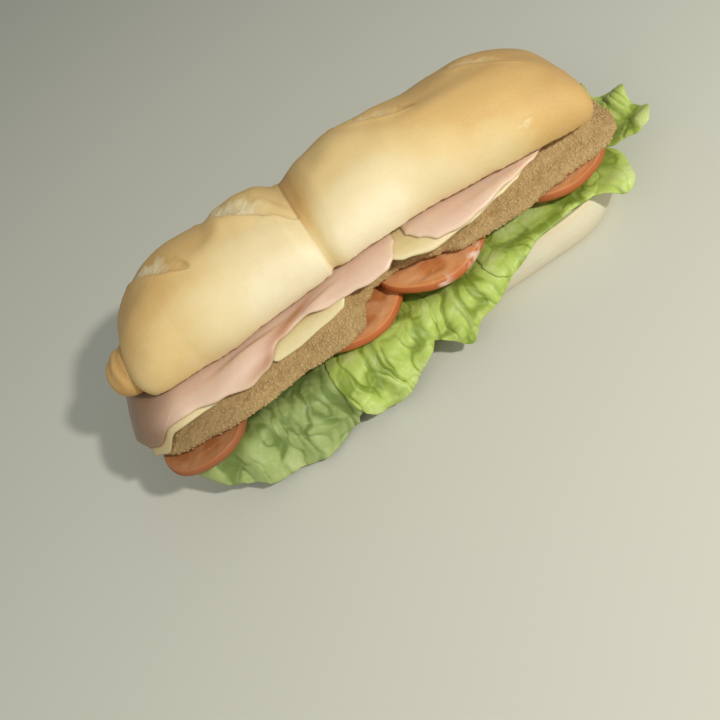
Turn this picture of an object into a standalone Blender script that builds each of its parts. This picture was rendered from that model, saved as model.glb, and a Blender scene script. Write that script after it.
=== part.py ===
"""A filled long roll: a soft two-lobed loaf cut in two, with lettuce, tomato, a breaded cutlet, cheese and ham.

The loaf runs along X. The side that faces -Y is the open one, where the fillings hang out. The origin is on the
flat underside of the lower half of the loaf, below its middle, and +Z is up.
"""

import math
import random

import bmesh
import bpy
from mathutils import Vector

MM = 0.001
RIGHT_ANGLE = math.pi / 2

# The lower half of the loaf
LOWER_LEFT = -114 * MM
LOWER_RIGHT = 124 * MM
LOWER_HALF_WIDTH = 36.2 * MM
LOWER_END_RADIUS = 40 * MM
LOWER_BLUNTNESS = 2.1
LOWER_CUT_HEIGHT = 20.6 * MM
LOWER_CUT_TILT = 0.03
LOWER_FOOT = 0.84
LOWER_BULGE = 1.05

# The upper half of the loaf, which sits further back and leans away from the open side
UPPER_LEFT = -108 * MM
UPPER_RIGHT = 121 * MM
UPPER_MIDDLE_Y = 12.5 * MM
UPPER_HALF_WIDTH = 35 * MM
UPPER_END_RADIUS = 31 * MM
# How square the ends are at the cut: the near corner on the left, the near corner on the right, the far corners
UPPER_LEFT_BLUNTNESS = 5.5
UPPER_RIGHT_BLUNTNESS = 10.0
UPPER_FAR_BLUNTNESS = 3.0
CROWN_BLUNTNESS = 2.3
UPPER_TUCK = math.radians(16)
CREASE_X = -10 * MM
CREASE_PINCH = 2.4 * MM
CREASE_STEEP_SIDE = 1.5 * MM
CREASE_ROUND_SIDE = 4.0 * MM

# The four slashes that opened along the crown as the loaf baked: near tip, then far tip
SLASHES = (
    (-57 * MM, -2 * MM, -93 * MM, 39 * MM),
    (-11 * MM, -3 * MM, -52 * MM, 41 * MM),
    (57 * MM, 9 * MM, 24 * MM, 38 * MM),
    (107 * MM, -2 * MM, 74 * MM, 39 * MM),
)
SLASH_HALF_WIDTH = 7 * MM
SLASH_DEPTH = 3.0 * MM

# The knob of dough at the left end of the upper half
KNOB_X = -108.5 * MM
KNOB_Y = 4 * MM
KNOB_LENGTH = 12 * MM
KNOB_HALF_WIDTH = 13.5 * MM
KNOB_HEIGHT = 13 * MM

# How the layers lie on each other
STACK_TILT = 0.075
STACK_HUMP = 3.9 * MM
HUMP_X = 8 * MM
HUMP_WIDTH = 40 * MM
CLEARANCE = 0.4 * MM

LEAF_THICKNESS = 0.9 * MM
LEAF_REST = 1.3 * MM
LEAF_PUFF = 2.0 * MM
LEAF_PUFF_WIDTH = 7 * MM
LEAF_SHELF = (6 * MM, 0.0, 121 * MM, 40 * MM, 33 * MM)
LEAF_BEND_RADIUS = 7 * MM
LEAF_NEAR_SLOPE = math.radians(60)
LEAF_FAR_SLOPE = math.radians(30)
LEAF_RISING_SLOPE = math.radians(-18)
LEAF_RUFFLE = 1.9 * MM
LEAF_RUFFLE_LENGTH = 21 * MM

TOMATO_THICKNESS = 4.6 * MM
TOMATO_FLOOR = 26.0 * MM

CUTLET_LEFT = -126 * MM
CUTLET_RIGHT = 132 * MM
CUTLET_FLOOR = 32.3 * MM
CUTLET_THICKNESS = 12.0 * MM
CUTLET_RIM = 4.5 * MM
CUTLET_FAR = 37 * MM
CUTLET_END_RADIUS = 27 * MM
CUTLET_LEFT_BLUNTNESS = 2.1
CUTLET_RIGHT_BLUNTNESS = 2.8
CUTLET_SHOULDER = 16 * MM
CUTLET_RELIEF = 0.35 * MM

SLICE_SHELF = (5.5 * MM, 11 * MM, 116.5 * MM, 36 * MM, 9 * MM)
SLICE_BEND_RADIUS = 8 * MM
SLICE_SLOPE = math.radians(49)
SLICE_FLOOR = 46.3 * MM
CHEESE_THICKNESS = 1.7 * MM
HAM_THICKNESS = 1.4 * MM
HAM_LIFT = 2.5 * MM
HAM_WAVE = 3.2 * MM
SLICE_BULGE = 4.5 * MM

UPPER_FLOOR = 52.1 * MM
UPPER_RIGHT_SAG = 3.6 * MM


def smoothstep(t):
    """0 below 0, 1 above 1 and a smooth rise between."""
    t = max(0.0, min(1.0, t))
    return t * t * (3 - 2 * t)


def bell(distance, width):
    """1 at no distance, falling smoothly to nothing."""
    return math.exp(-((distance / width) ** 2))


def table_value(table, x):
    """The value of a table of (x, value) pairs in millimetres, joined smoothly and level past its ends."""
    x = x / MM
    if x <= table[0][0]:
        return table[0][1] * MM
    for (x0, value0), (x1, value1) in zip(table, table[1:]):
        if x <= x1:
            return (value0 + (value1 - value0) * smoothstep((x - x0) / (x1 - x0))) * MM
    return table[-1][1] * MM


def clear_scene():
    for old in list(bpy.data.objects):
        bpy.data.objects.remove(old)


def finish_material(name, colour, roughness):
    material = bpy.data.materials.new(name)
    material.use_nodes = True
    shader = material.node_tree.nodes["Principled BSDF"]
    shader.inputs["Base Color"].default_value = (*colour, 1.0)
    shader.inputs["Roughness"].default_value = roughness
    shader.inputs["Metallic"].default_value = 0.0
    return material


def object_from(name, bm, material):
    """Makes one object of a mesh whose faces all point outwards, shaded smooth."""
    bmesh.ops.remove_doubles(bm, verts=bm.verts, dist=0.002 * MM)
    bmesh.ops.recalc_face_normals(bm, faces=bm.faces)
    mesh = bpy.data.meshes.new(name)
    bm.to_mesh(mesh)
    bm.free()
    mesh.shade_smooth()
    mesh.materials.append(material)
    made = bpy.data.objects.new(name, mesh)
    bpy.context.scene.collection.objects.link(made)
    return made


def gathered(x):
    """Draws stations together round the cleft, so that it keeps its steep side."""
    return x - 0.6 * (x - CREASE_X) * bell(x - CREASE_X, 9 * MM)


def perimeter(left, right, side_steps, end_steps):
    """Stations once round a long shape: a place on its spine, and the outward angle there."""
    stations = []
    for i in range(side_steps):
        stations.append((gathered(left + (right - left) * i / side_steps), -RIGHT_ANGLE))
    for i in range(end_steps):
        stations.append((right, -RIGHT_ANGLE + math.pi * i / end_steps))
    for i in range(side_steps):
        stations.append((gathered(right + (left - right) * i / side_steps), RIGHT_ANGLE))
    for i in range(end_steps):
        stations.append((left, RIGHT_ANGLE + math.pi * i / end_steps))
    return stations


def rings_mesh(rings):
    """Joins closed rings of points, first to last. Points that fall together are merged later."""
    bm = bmesh.new()
    rows = [[bm.verts.new(point) for point in ring] for ring in rings]
    count = len(rows[0])
    for low, high in zip(rows, rows[1:]):
        for i in range(count):
            j = (i + 1) % count
            bm.faces.new((low[i], low[j], high[j], high[i]))
    return bm


def plan_point(station, middle_y, reach):
    spine_x, angle = station
    return spine_x + math.cos(angle) * reach, middle_y + math.sin(angle) * reach


def blunt_reach(angle, end_radius, side, bluntness):
    """How far a rounded end reaches at an angle: an ellipse at a bluntness of 2, and squarer above it."""
    share = abs(math.cos(angle) / end_radius) ** bluntness + abs(math.sin(angle) / side) ** bluntness
    return share ** (-1 / bluntness)


def hump(x):
    """How much higher the layers lie over the two tomato slices that overlap."""
    return STACK_HUMP * bell(x - HUMP_X, HUMP_WIDTH)


def lower_cut(y):
    return LOWER_CUT_HEIGHT - LOWER_CUT_TILT * y


def crease(x):
    """The cleft between the two lobes, steep on the left and round on the right."""
    width = CREASE_STEEP_SIDE if x < CREASE_X else CREASE_ROUND_SIDE
    return bell(x - CREASE_X, width)


def lower_reach(station):
    x, angle = station
    side = LOWER_HALF_WIDTH - 0.4 * CREASE_PINCH * crease(x)
    return blunt_reach(angle, LOWER_END_RADIUS, side, LOWER_BLUNTNESS)


# The lower half from its foot up and in over the cut face: share of the half width, share of the height
LOWER_FLANK = (
    (0.0, 0.0),
    (0.5, 0.0),
    (LOWER_FOOT, 0.0),
    (0.95, 0.08),
    (1.02, 0.27),
    (LOWER_BULGE, 0.54),
    (1.03, 0.8),
    (1.0, 0.96),
    (0.95, 1.0),
    (0.5, 1.0),
    (0.0, 1.0),
)


def make_lower_half(material):
    """The lower half of the loaf: a flat foot, a round flank and the cut face that carries the fillings."""
    left, right = LOWER_LEFT + LOWER_END_RADIUS, LOWER_RIGHT - LOWER_END_RADIUS
    stations = perimeter(left, right, 18, 8)
    rings = []
    for share, height in LOWER_FLANK:
        ring = []
        for station in stations:
            x, y = plan_point(station, 0.0, share * lower_reach(station))
            ring.append(Vector((x, y, height * lower_cut(y))))
        rings.append(ring)
    return object_from("bun_bottom", rings_mesh(rings), material)


def slash_depth(x, y):
    """How far the crust is opened at a point of the crown: almond-shaped furrows, deepest in their middle."""
    depth = 0.0
    for near_x, near_y, far_x, far_y in SLASHES:
        run = Vector((far_x - near_x, far_y - near_y))
        there = Vector((x - near_x, y - near_y))
        along = there.dot(run) / run.length_squared
        across = abs(there.x * run.y - there.y * run.x) / run.length
        half_width = SLASH_HALF_WIDTH * math.sqrt(max(0.0, math.sin(math.pi * max(0.0, min(1.0, along)))))
        if across < half_width:
            depth = max(depth, SLASH_DEPTH * (1 - (across / half_width) ** 2))
    return depth


def upper_cut(x, y):
    """The underside of the upper half. It lies lower at the right end, where there is no ham or cheese."""
    sag = UPPER_RIGHT_SAG * smoothstep((x - 82 * MM) / (34 * MM))
    return UPPER_FLOOR - STACK_TILT * y + hump(x) - sag


# The near edge of the upper half: x, then how far it lies from the middle. The cleft draws it in further.
UPPER_NEAR_EDGE = (
    (-90, 30.5), (-64, 33.2), (-44, 31.2), (-16, 31.6), (14, 31.2), (40, 29.6), (60, 31.6), (90, 35.2), (120, 40),
)

# The height of the crown above the cut: two lobes with a cleft between them
UPPER_CROWN = (
    (-110, 29), (-92, 32.5), (-66, 36.7), (-40, 35), (-14, 30.5), (-10, 26), (4, 31), (40, 33.2), (85, 32.8),
    (122, 31),
)
# What the far side of the crown rises and falls beside that, where the dough opened
UPPER_WAVES = (
    (-110, 0), (-92, -1), (-66, 0), (-50, -1.3), (-39, 1.5), (-30, 2.2), (-22, 1.4), (-14, -1.5), (-10, 0), (4, 0),
    (20, 1.6), (40, 0), (60, -2.2), (72, -1.6), (85, -1.5), (96, -2.1), (122, 0),
)


def upper_reach(station, rise):
    """How far the upper half reaches at a height: nearly square at the cut, and rounder towards the crown."""
    x, angle = station
    if math.sin(angle) < 0:
        side = table_value(UPPER_NEAR_EDGE, x)
        bluntness = UPPER_RIGHT_BLUNTNESS if math.cos(angle) > 0 else UPPER_LEFT_BLUNTNESS
    else:
        side = UPPER_HALF_WIDTH + 1.2 * MM * math.cos((x - 55 * MM) / (62 * MM) * math.pi)
        bluntness = UPPER_FAR_BLUNTNESS
    bluntness = CROWN_BLUNTNESS + (bluntness - CROWN_BLUNTNESS) * (1 - rise) ** 1.5
    return blunt_reach(angle, UPPER_END_RADIUS, side - CREASE_PINCH * crease(x), bluntness)


def make_upper_half(material):
    """The upper half of the loaf: a domed crust with a cleft and four slashes, and a cut underside."""
    left, right = UPPER_LEFT + UPPER_END_RADIUS, UPPER_RIGHT - UPPER_END_RADIUS
    stations = perimeter(left, right, 34, 9)
    rings = [[], [], []]
    for ring, share in zip(rings, (0.0, 0.45, 0.9)):
        for station in stations:
            x, y = plan_point(station, UPPER_MIDDLE_Y, share * upper_reach(station, 0.0))
            ring.append(Vector((x, y, upper_cut(x, y))))
    dome_steps = 11
    for step in range(dome_steps + 1):
        turn = -UPPER_TUCK + (RIGHT_ANGLE + UPPER_TUCK) * step / dome_steps
        share = math.cos(turn) / math.cos(UPPER_TUCK)
        rise = min(1.0, (math.sin(turn) + math.sin(UPPER_TUCK)) / (1 + math.sin(UPPER_TUCK)))
        ring = []
        for station in stations:
            x, y = plan_point(station, UPPER_MIDDLE_Y, share * upper_reach(station, rise))
            wave = table_value(UPPER_WAVES, x) * smoothstep((y - 2 * MM) / (14 * MM))
            height = table_value(UPPER_CROWN, x) * rise + (wave - slash_depth(x, y)) * smoothstep(2 * rise - 0.6)
            ring.append(Vector((x, y, upper_cut(x, y) + height)))
        rings.append(ring)
    crust = object_from("bun_top", rings_mesh(rings), material)
    union = crust.modifiers.new("knob", "BOOLEAN")
    union.operation = "UNION"
    union.object = make_knob(material)
    return crust


def make_knob(material):
    """The small lobe of dough at the left end, joined to the upper half."""
    stations = perimeter(0.0, 0.0, 0, 9)
    foot = upper_cut(KNOB_X, KNOB_Y) + 0.9 * MM
    rings = []
    for share, rise in ((0.0, 0.0), (0.93, 0.0), (1.0, 0.22), (0.94, 0.5), (0.75, 0.79), (0.42, 0.95), (0.0, 1.0)):
        ring = []
        for _, angle in stations:
            x = KNOB_X + math.cos(angle) * share * KNOB_LENGTH
            y = KNOB_Y + math.sin(angle) * share * KNOB_HALF_WIDTH
            ring.append(Vector((x, y, foot + rise * KNOB_HEIGHT)))
        rings.append(ring)
    knob = object_from("knob_dough", rings_mesh(rings), material)
    knob.hide_render = True
    knob.display_type = "WIRE"
    return knob


# The near edge of the cutlet: x, then how far it reaches out. It is drawn in over the middle tomatoes.
CUTLET_NEAR_EDGE = (
    (-112, 36), (-97, 39), (-80, 41.5), (-65, 41.5), (-44, 39.5), (-22, 41.5), (-13, 39), (-6, 26), (0, 21.5),
    (12, 20.5), (22, 22.5), (32, 26), (42, 31), (57, 31.5), (72, 31.5), (88, 28.5), (102, 27), (114, 28.5), (124, 29.5),
)


def cutlet_reach(station):
    x, angle = station
    if math.sin(angle) < 0:
        side = table_value(CUTLET_NEAR_EDGE, x)
    else:
        side = CUTLET_FAR + 1.2 * MM * math.sin(x / (15 * MM))
    bluntness = CUTLET_RIGHT_BLUNTNESS if math.cos(angle) > 0 else CUTLET_LEFT_BLUNTNESS
    return blunt_reach(angle, CUTLET_END_RADIUS, side, bluntness)


def edge_drop(past, radius, slope):
    """How far a surface has dropped at a level distance past the edge that it bends over."""
    bend = radius * math.sin(slope)
    if past <= 0:
        return 0.0
    if past < bend:
        return radius - math.sqrt(radius * radius - past * past)
    return radius * (1 - math.cos(slope)) + (past - bend) * math.tan(slope)


def cutlet_floor(x, y):
    return CUTLET_FLOOR - STACK_TILT * y + hump(x)


def cutlet_height(inset):
    """The thickness of the cutlet at a distance in from its outline: a round rim, a slope, then level."""
    drop = edge_drop(CUTLET_SHOULDER - inset, SLICE_BEND_RADIUS, SLICE_SLOPE)
    rounding = max(0.0, 1.2 * MM - 0.5 * inset)
    return CUTLET_THICKNESS - min(CUTLET_THICKNESS - CUTLET_RIM, drop) - rounding


def make_cutlet(material):
    """The breaded cutlet: a thick slab with sloping shoulders, a thinner rim and a crumbed, uneven surface."""
    left, right = CUTLET_LEFT + CUTLET_END_RADIUS, CUTLET_RIGHT - CUTLET_END_RADIUS
    stations = perimeter(left, right, 28, 7)
    profile = [(1.0, 0.0), (0.5, 0.0), (0.06, 0.0), (0.015, 1.2 * MM)]
    rings = []
    for inset_share, height in profile:
        rings.append([cutlet_point(station, inset_share * cutlet_reach(station), height) for station in stations])
    for inset in (0.8, 3.0, 6.0, 9.0, 12.5, 16.0):
        inset *= MM
        rings.append([cutlet_point(station, inset, cutlet_height(inset)) for station in stations])
    rings.append([cutlet_point(station, cutlet_reach(station), CUTLET_THICKNESS) for station in stations])
    bm = rings_mesh(rings)
    bmesh.ops.remove_doubles(bm, verts=bm.verts, dist=0.002 * MM)
    crumbs = random.Random(7)
    for vert in bm.verts:
        vert.co.z += CUTLET_RELIEF * crumbs.uniform(-1, 1)
    return object_from("cutlet", bm, material)


def cutlet_point(station, inset, height):
    x, y = plan_point(station, 0.0, cutlet_reach(station) - inset)
    return Vector((x, y, cutlet_floor(x, y) + height))


def past_shelf(x, y, shelf):
    """Where a flat point lies against a shelf with rounded corners: foot on the edge, way out, distance past."""
    middle_x, middle_y, half_length, half_width, corner = shelf
    inner_x = max(corner - half_length, min(half_length - corner, x - middle_x))
    inner_y = max(corner - half_width, min(half_width - corner, y - middle_y))
    away = Vector((x - middle_x - inner_x, y - middle_y - inner_y))
    if away.length <= corner:
        return Vector((x, y)), Vector((0, -1)), 0.0
    out = away.normalized()
    return Vector((middle_x + inner_x, middle_y + inner_y)) + out * corner, out, away.length - corner


def hang(x, y, shelf, radius, slope):
    """A flat point laid over a shelf: its level place, its drop, the normal there, way out, distance past."""
    foot, out, past = past_shelf(x, y, shelf)
    if past == 0:
        return foot, 0.0, Vector((0, 0, 1)), out, past
    sign = math.copysign(1, slope)
    turn = min(past / radius, abs(slope))
    straight = past - radius * turn
    run = radius * math.sin(turn) + straight * math.cos(turn)
    drop = radius * (1 - math.cos(turn)) + straight * math.sin(turn)
    normal = Vector((out.x * math.sin(turn) * sign, out.y * math.sin(turn) * sign, math.cos(turn)))
    return foot + out * run, sign * drop, normal, out, past


def ruffle(x, y, out, past):
    """The waves of a leaf's rim, which grow with the distance past the bread."""
    by_x = math.sin(2 * math.pi * x / LEAF_RUFFLE_LENGTH + 1.3 * math.sin(x / (19 * MM)))
    by_y = math.sin(2 * math.pi * y / LEAF_RUFFLE_LENGTH + 0.8)
    return LEAF_RUFFLE * smoothstep(past / (18 * MM)) * (by_x * out.y**2 + by_y * out.x**2)


def leaf_point(x, y, lift, outer_lift, slope):
    """A place on a lettuce leaf. Leaves share this surface at their own lifts, so they never cross."""
    place, drop, normal, out, past = hang(x, y, LEAF_SHELF, LEAF_BEND_RADIUS, slope)
    raised = lift + (outer_lift - lift) * smoothstep(past / (6 * MM)) + LEAF_PUFF * bell(y + 38 * MM, LEAF_PUFF_WIDTH)
    height = lower_cut(place.y) + LEAF_REST - drop
    point = Vector((place.x, place.y, height)) + normal * (raised + ruffle(x, y, out, past))
    floor = CLEARANCE + LEAF_THICKNESS / 2 + outer_lift
    spare = point.z - floor
    point.z = floor + 0.5 * (spare + math.sqrt(spare * spare + (1.5 * MM) ** 2))
    return point


def closed_curve(knots, count):
    """Points once round a closed curve that passes smoothly through its knots."""
    points = []
    for i in range(count):
        place = i / count * len(knots)
        start = int(place)
        t = place - start
        a, b, c, d = (Vector(knots[(start + k) % len(knots)]) for k in (-1, 0, 1, 2))
        bend = (2 * a - 5 * b + 4 * c - d) * t * t + (3 * b - a - 3 * c + d) * t**3
        points.append((b + 0.5 * ((c - a) * t + bend)) * MM)
    return points


def facing_points(surface, x, y, thickness):
    """The two places of a sheet's faces at a flat point."""
    step = 0.2 * MM
    here = surface(x, y)
    normal = (surface(x + step, y) - here).cross(surface(x, y + step) - here).normalized()
    return here + normal * thickness / 2, here - normal * thickness / 2


def leaf_mesh(knots, surface, thickness, around, rings):
    """A thin leaf on a curved surface, made of rings round its middle. Both faces have the same triangles."""
    outline = closed_curve(knots, around)
    middle = sum(outline, Vector((0, 0))) / around
    bm = bmesh.new()
    centre = [bm.verts.new(point) for point in facing_points(surface, middle.x, middle.y, thickness)]
    sides = [[], []]
    for ring in range(1, rings + 1):
        share = (ring / rings) ** 0.75
        rows = [[], []]
        for rim in outline:
            flat = middle + (rim - middle) * share
            for row, point in zip(rows, facing_points(surface, flat.x, flat.y, thickness)):
                row.append(bm.verts.new(point))
        sides[0].append(rows[0])
        sides[1].append(rows[1])
    for side in (0, 1):
        for i in range(around):
            j = (i + 1) % around
            bm.faces.new((centre[side], sides[side][0][i], sides[side][0][j]))
            for inner, outer in zip(sides[side], sides[side][1:]):
                bm.faces.new((inner[i], outer[i], outer[j]))
                bm.faces.new((inner[i], outer[j], inner[j]))
    close_rim(bm, sides[0][-1], sides[1][-1])
    return bm


def close_rim(bm, top, bottom):
    """Closes the thin edge between the two faces of a sheet."""
    for i in range(len(top)):
        j = (i + 1) % len(top)
        bm.faces.new((top[i], bottom[i], bottom[j]))
        bm.faces.new((top[i], bottom[j], top[j]))


# Lettuce leaves: lift over the bread, lift past its edge, slope past its edge, and the flat outline
LEAVES = {
    "lettuce_near_left": (0.0, 0.0, LEAF_NEAR_SLOPE, (
        (-113, -24), (-109, -41), (-98, -56), (-82, -64.5), (-63, -67.5), (-46, -66), (-34, -58), (-27, -41),
        (-32, -20), (-55, -6), (-80, -5), (-103, -9),
    )),
    "lettuce_near_middle": (1.6, 2.3, LEAF_NEAR_SLOPE, (
        (-36, -28), (-37, -45), (-33, -59), (-23, -65), (-11, -62.5), (1, -56), (11, -47.5), (15, -35), (10, -16),
        (-10, -7), (-30, -12),
    )),
    "lettuce_near_fold": (0.0, 0.0, LEAF_NEAR_SLOPE, (
        (6, -37), (8, -49), (15, -55), (22.5, -61), (30, -55.5), (40, -52), (50, -47), (58, -41), (55, -24),
        (38, -9), (14, -9), (5, -22),
    )),
    "lettuce_near_strip": (1.6, 2.1, LEAF_NEAR_SLOPE, (
        (44, -35), (50, -45), (60, -43.5), (70, -40), (80, -38.5), (92, -37), (102, -37), (108, -28), (99, -11),
        (74, -6), (52, -13),
    )),
    "lettuce_near_right": (0.0, 0.0, LEAF_NEAR_SLOPE, (
        (97, -32), (105, -38.5), (113, -42), (119, -39), (124, -31), (126, -20), (119, -9), (106, -6), (97, -16),
    )),
    "lettuce_end": (1.6, 2.0, LEAF_RISING_SLOPE, (
        (108, -1), (118, -8), (130, -18), (142, -23), (150, -15), (147, -4), (151, 6), (145, 13), (139, 17),
        (140, 28), (129, 29), (117, 15),
    )),
    "lettuce_far_left": (0.0, 0.0, LEAF_FAR_SLOPE, (
        (-104, 26), (-99, 42), (-80, 49), (-58, 47), (-38, 50), (-28, 36), (-34, 16), (-60, 9), (-92, 12),
    )),
    "lettuce_far_middle": (1.6, 3.4, LEAF_FAR_SLOPE, (
        (-33, 28), (-31, 42), (-17, 50), (2, 47), (20, 51), (36, 44), (39, 26), (28, 12), (2, 8), (-24, 13),
    )),
    "lettuce_far_right": (0.0, 0.0, LEAF_FAR_SLOPE, (
        (32, 24), (34, 41), (50, 50), (70, 46), (88, 49), (100, 40), (103, 23), (88, 10), (52, 10),
    )),
}


def make_leaves(material):
    for name, (lift, outer_lift, slope, knots) in LEAVES.items():

        def surface(x, y, lift=lift, outer_lift=outer_lift, slope=slope):
            return leaf_point(x, y, lift * MM, outer_lift * MM, slope)

        around, rings = (22, 4) if slope == LEAF_FAR_SLOPE else (30, 5)
        object_from(name, leaf_mesh(knots, surface, LEAF_THICKNESS, around, rings), material)


# Tomato slices: middle x, middle y, radius, height above the tomato floor, fall to the right, unevenness
TOMATOES = {
    "tomato_left": (-96.5, -29, 21.5, 0.5, 0.0, 0.5),
    "tomato_middle": (-15, -12, 27.5, 0.0, 0.06, 1.9),
    "tomato_overlap": (30, -12, 27.5, 2.4, 0.075, 3.0),
    "tomato_right": (97.5, -6, 27.0, 0.7, 0.0, 4.4),
}
TOMATO_RIM = ((0.0, 0.0), (0.9, 0.0), (0.975, 0.14), (1.0, 0.5), (0.975, 0.86), (0.9, 1.0), (0.0, 1.0))


def tomato_outline(angle, radius, phase):
    """A slice is nearly round, with five shallow lobes."""
    reach = radius * (1 + 0.014 * math.sin(5 * angle + phase) + 0.012 * math.sin(2 * angle + 2 * phase))
    return math.cos(angle) * reach, math.sin(angle) * reach


def make_tomatoes(material):
    """Round slices with a rounded rim. The two in the middle lean on each other."""
    around = 26
    for name, (middle_x, middle_y, radius, lift, fall, phase) in TOMATOES.items():
        rings = []
        for share, height in TOMATO_RIM:
            ring = []
            for i in range(around):
                dx, dy = tomato_outline(2 * math.pi * i / around, share * radius * MM, phase)
                x, y = middle_x * MM + dx, middle_y * MM + dy
                floor = TOMATO_FLOOR + lift * MM - STACK_TILT * y - fall * dx
                ring.append(Vector((x, y, floor + height * TOMATO_THICKNESS)))
            rings.append(ring)
        object_from(name, rings_mesh(rings), material)


# Slices of cheese and ham: left end, right end, reach to the far side, then the near edge as (x, flat reach)
CHEESES = {
    "cheese_left": (-120, -57, 44, ((-120, 35), (-113, 39), (-104, 34), (-65, 33), (-57, 30))),
    "cheese_middle": (-56, -11, 43, ((-56, 29), (-50, 34), (-40, 34), (-25, 33), (-16, 32), (-11, 27))),
    "cheese_right": (9, 80, 42, ((9, 25), (18, 30), (30, 33), (48, 31), (66, 27.5), (76, 25), (80, 22))),
}
HAMS = {
    "ham_left": (-123, 18, 45, (
        (-123, 22), (-118, 31.5), (-112, 34.5), (-104, 31), (-92, 31), (-78, 33), (-66, 36), (-57, 34.5), (-45, 30),
        (-34, 28.5), (-20, 29), (-9.6, 27.5), (0, 30), (8, 30), (13, 28), (18, 20),
    )),
    "ham_right": (24, 94, 43, ((24, 20), (28, 26), (34, 30), (44, 31), (56, 29.5), (72, 26), (86, 22), (94, 18))),
}
SLICE_ROWS = (-36, -32, -28, -25, -12, 0, 24, 36)


def ham_swell(x, y):
    """The waves of the ham along the open side. They run out at a slant, with a deep dip between the first two."""
    slant = x - 2.1 * (y + 34 * MM)
    return bell(slant + 78 * MM, 14 * MM) + 0.55 * bell(slant + 37 * MM, 9 * MM) + 0.3 * bell(slant - 46 * MM, 14 * MM)


def left_bulge(x, y):
    """How far the slices at the left end push out under the knob."""
    bulge = smoothstep((y + 32 * MM) / (26 * MM)) * smoothstep((30 * MM - y) / (20 * MM))
    return SLICE_BULGE * bulge * smoothstep((-98 * MM - x) / (24 * MM))


def slice_point(x, y, lift, wave):
    """A place on a slice of cheese or ham, laid over the cutlet and bent down past its shoulder."""
    x -= left_bulge(x, y)
    place, drop, normal, _, _ = hang(x, y, SLICE_SHELF, SLICE_BEND_RADIUS, SLICE_SLOPE)
    height = SLICE_FLOOR - STACK_TILT * place.y + hump(place.x) - drop
    swell = wave * ham_swell(x, y) * smoothstep((-y - 20 * MM) / (7 * MM))
    return Vector((place.x, place.y, height)) + normal * (lift + swell)


def slice_rows(near, far):
    """Flat rows across a slice, from its near edge to its far one, close together where it bends."""
    rows = [near]
    for row in SLICE_ROWS:
        rows.append(max(row * MM, rows[-1] + 1.2 * MM))
    rows.append(far)
    return rows


def slice_mesh(left, right, reach, near_edge, lift, wave, thickness, columns):
    """A slice as a thin solid grid. Both faces have the same triangles."""
    bm = bmesh.new()
    faces = ([], [])
    for i in range(columns + 1):
        x = (left + (right - left) * i / columns) * MM
        corner = 4 * MM * abs(2 * i / columns - 1) ** 7
        grid_columns = ([], [])
        for y in slice_rows(-table_value(near_edge, x), reach * MM - corner):
            pair = facing_points(lambda u, v: slice_point(u, v, lift, wave), x, y, thickness)
            for column, point in zip(grid_columns, pair):
                column.append(bm.verts.new(point))
        faces[0].append(grid_columns[0])
        faces[1].append(grid_columns[1])
    for side in faces:
        for here, there in zip(side, side[1:]):
            for j in range(len(here) - 1):
                bm.faces.new((here[j], there[j], there[j + 1]))
                bm.faces.new((here[j], there[j + 1], here[j + 1]))
    close_rim(bm, rim_of(faces[0]), rim_of(faces[1]))
    return bm


def rim_of(grid):
    """The outer vertices of a grid of columns, once round."""
    near = [column[0] for column in grid]
    far = [column[-1] for column in grid]
    return near + grid[-1][1:-1] + far[::-1] + grid[0][-2:0:-1]


def make_slices(cheese_material, ham_material):
    for name, (left, right, reach, near_edge) in CHEESES.items():
        bm = slice_mesh(left, right, reach, near_edge, 0.0, 0.0, CHEESE_THICKNESS, 11)
        object_from(name, bm, cheese_material)
    for name, (left, right, reach, near_edge) in HAMS.items():
        columns = max(8, round((right - left) / 5))
        bm = slice_mesh(left, right, reach, near_edge, HAM_LIFT, HAM_WAVE, HAM_THICKNESS, columns)
        object_from(name, bm, ham_material)


def main():
    clear_scene()
    crust = finish_material("crust", (0.80, 0.60, 0.30), 0.45)
    lettuce = finish_material("lettuce", (0.35, 0.52, 0.12), 0.4)
    tomato = finish_material("tomato", (0.62, 0.14, 0.05), 0.2)
    breading = finish_material("breading", (0.42, 0.24, 0.09), 0.8)
    cheese = finish_material("cheese", (0.85, 0.72, 0.38), 0.4)
    ham = finish_material("ham", (0.78, 0.50, 0.42), 0.35)
    make_lower_half(crust)
    make_leaves(lettuce)
    make_tomatoes(tomato)
    make_cutlet(breading)
    make_slices(cheese, ham)
    make_upper_half(crust)


main()
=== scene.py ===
# %% [markdown]
# # A filled long roll
#
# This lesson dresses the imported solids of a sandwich: a soft long roll, cut in two and filled with
# lettuce, tomato, a breaded cutlet, cheese and ham. The solids fix where each piece lies. Here each
# one is made again as a fine mesh on the same rules, and gets the surface and the colours of real
# food.

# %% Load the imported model
import math

import bmesh
import bpy
import numpy as np
from mathutils import Matrix, Vector


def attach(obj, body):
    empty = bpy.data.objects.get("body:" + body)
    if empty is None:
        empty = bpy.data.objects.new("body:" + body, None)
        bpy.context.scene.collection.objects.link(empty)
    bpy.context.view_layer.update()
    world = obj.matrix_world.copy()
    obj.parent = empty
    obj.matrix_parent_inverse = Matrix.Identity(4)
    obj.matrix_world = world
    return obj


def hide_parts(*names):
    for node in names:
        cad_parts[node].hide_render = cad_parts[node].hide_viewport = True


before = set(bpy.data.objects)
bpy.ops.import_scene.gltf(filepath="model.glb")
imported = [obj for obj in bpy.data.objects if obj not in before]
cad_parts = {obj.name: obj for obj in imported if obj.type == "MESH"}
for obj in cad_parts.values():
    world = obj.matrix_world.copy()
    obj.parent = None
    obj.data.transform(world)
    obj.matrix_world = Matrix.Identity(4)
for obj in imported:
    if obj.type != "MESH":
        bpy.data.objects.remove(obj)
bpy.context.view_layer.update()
MM = 0.001
DETAIL = 1.0

# %% [markdown]
# Every shape below is a rule that turns arrays of numbers into places, in millimetres. The first
# helpers are small: a smooth step, a bell, a table that is joined smoothly, and lumpy noise that is
# always the same.


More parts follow.
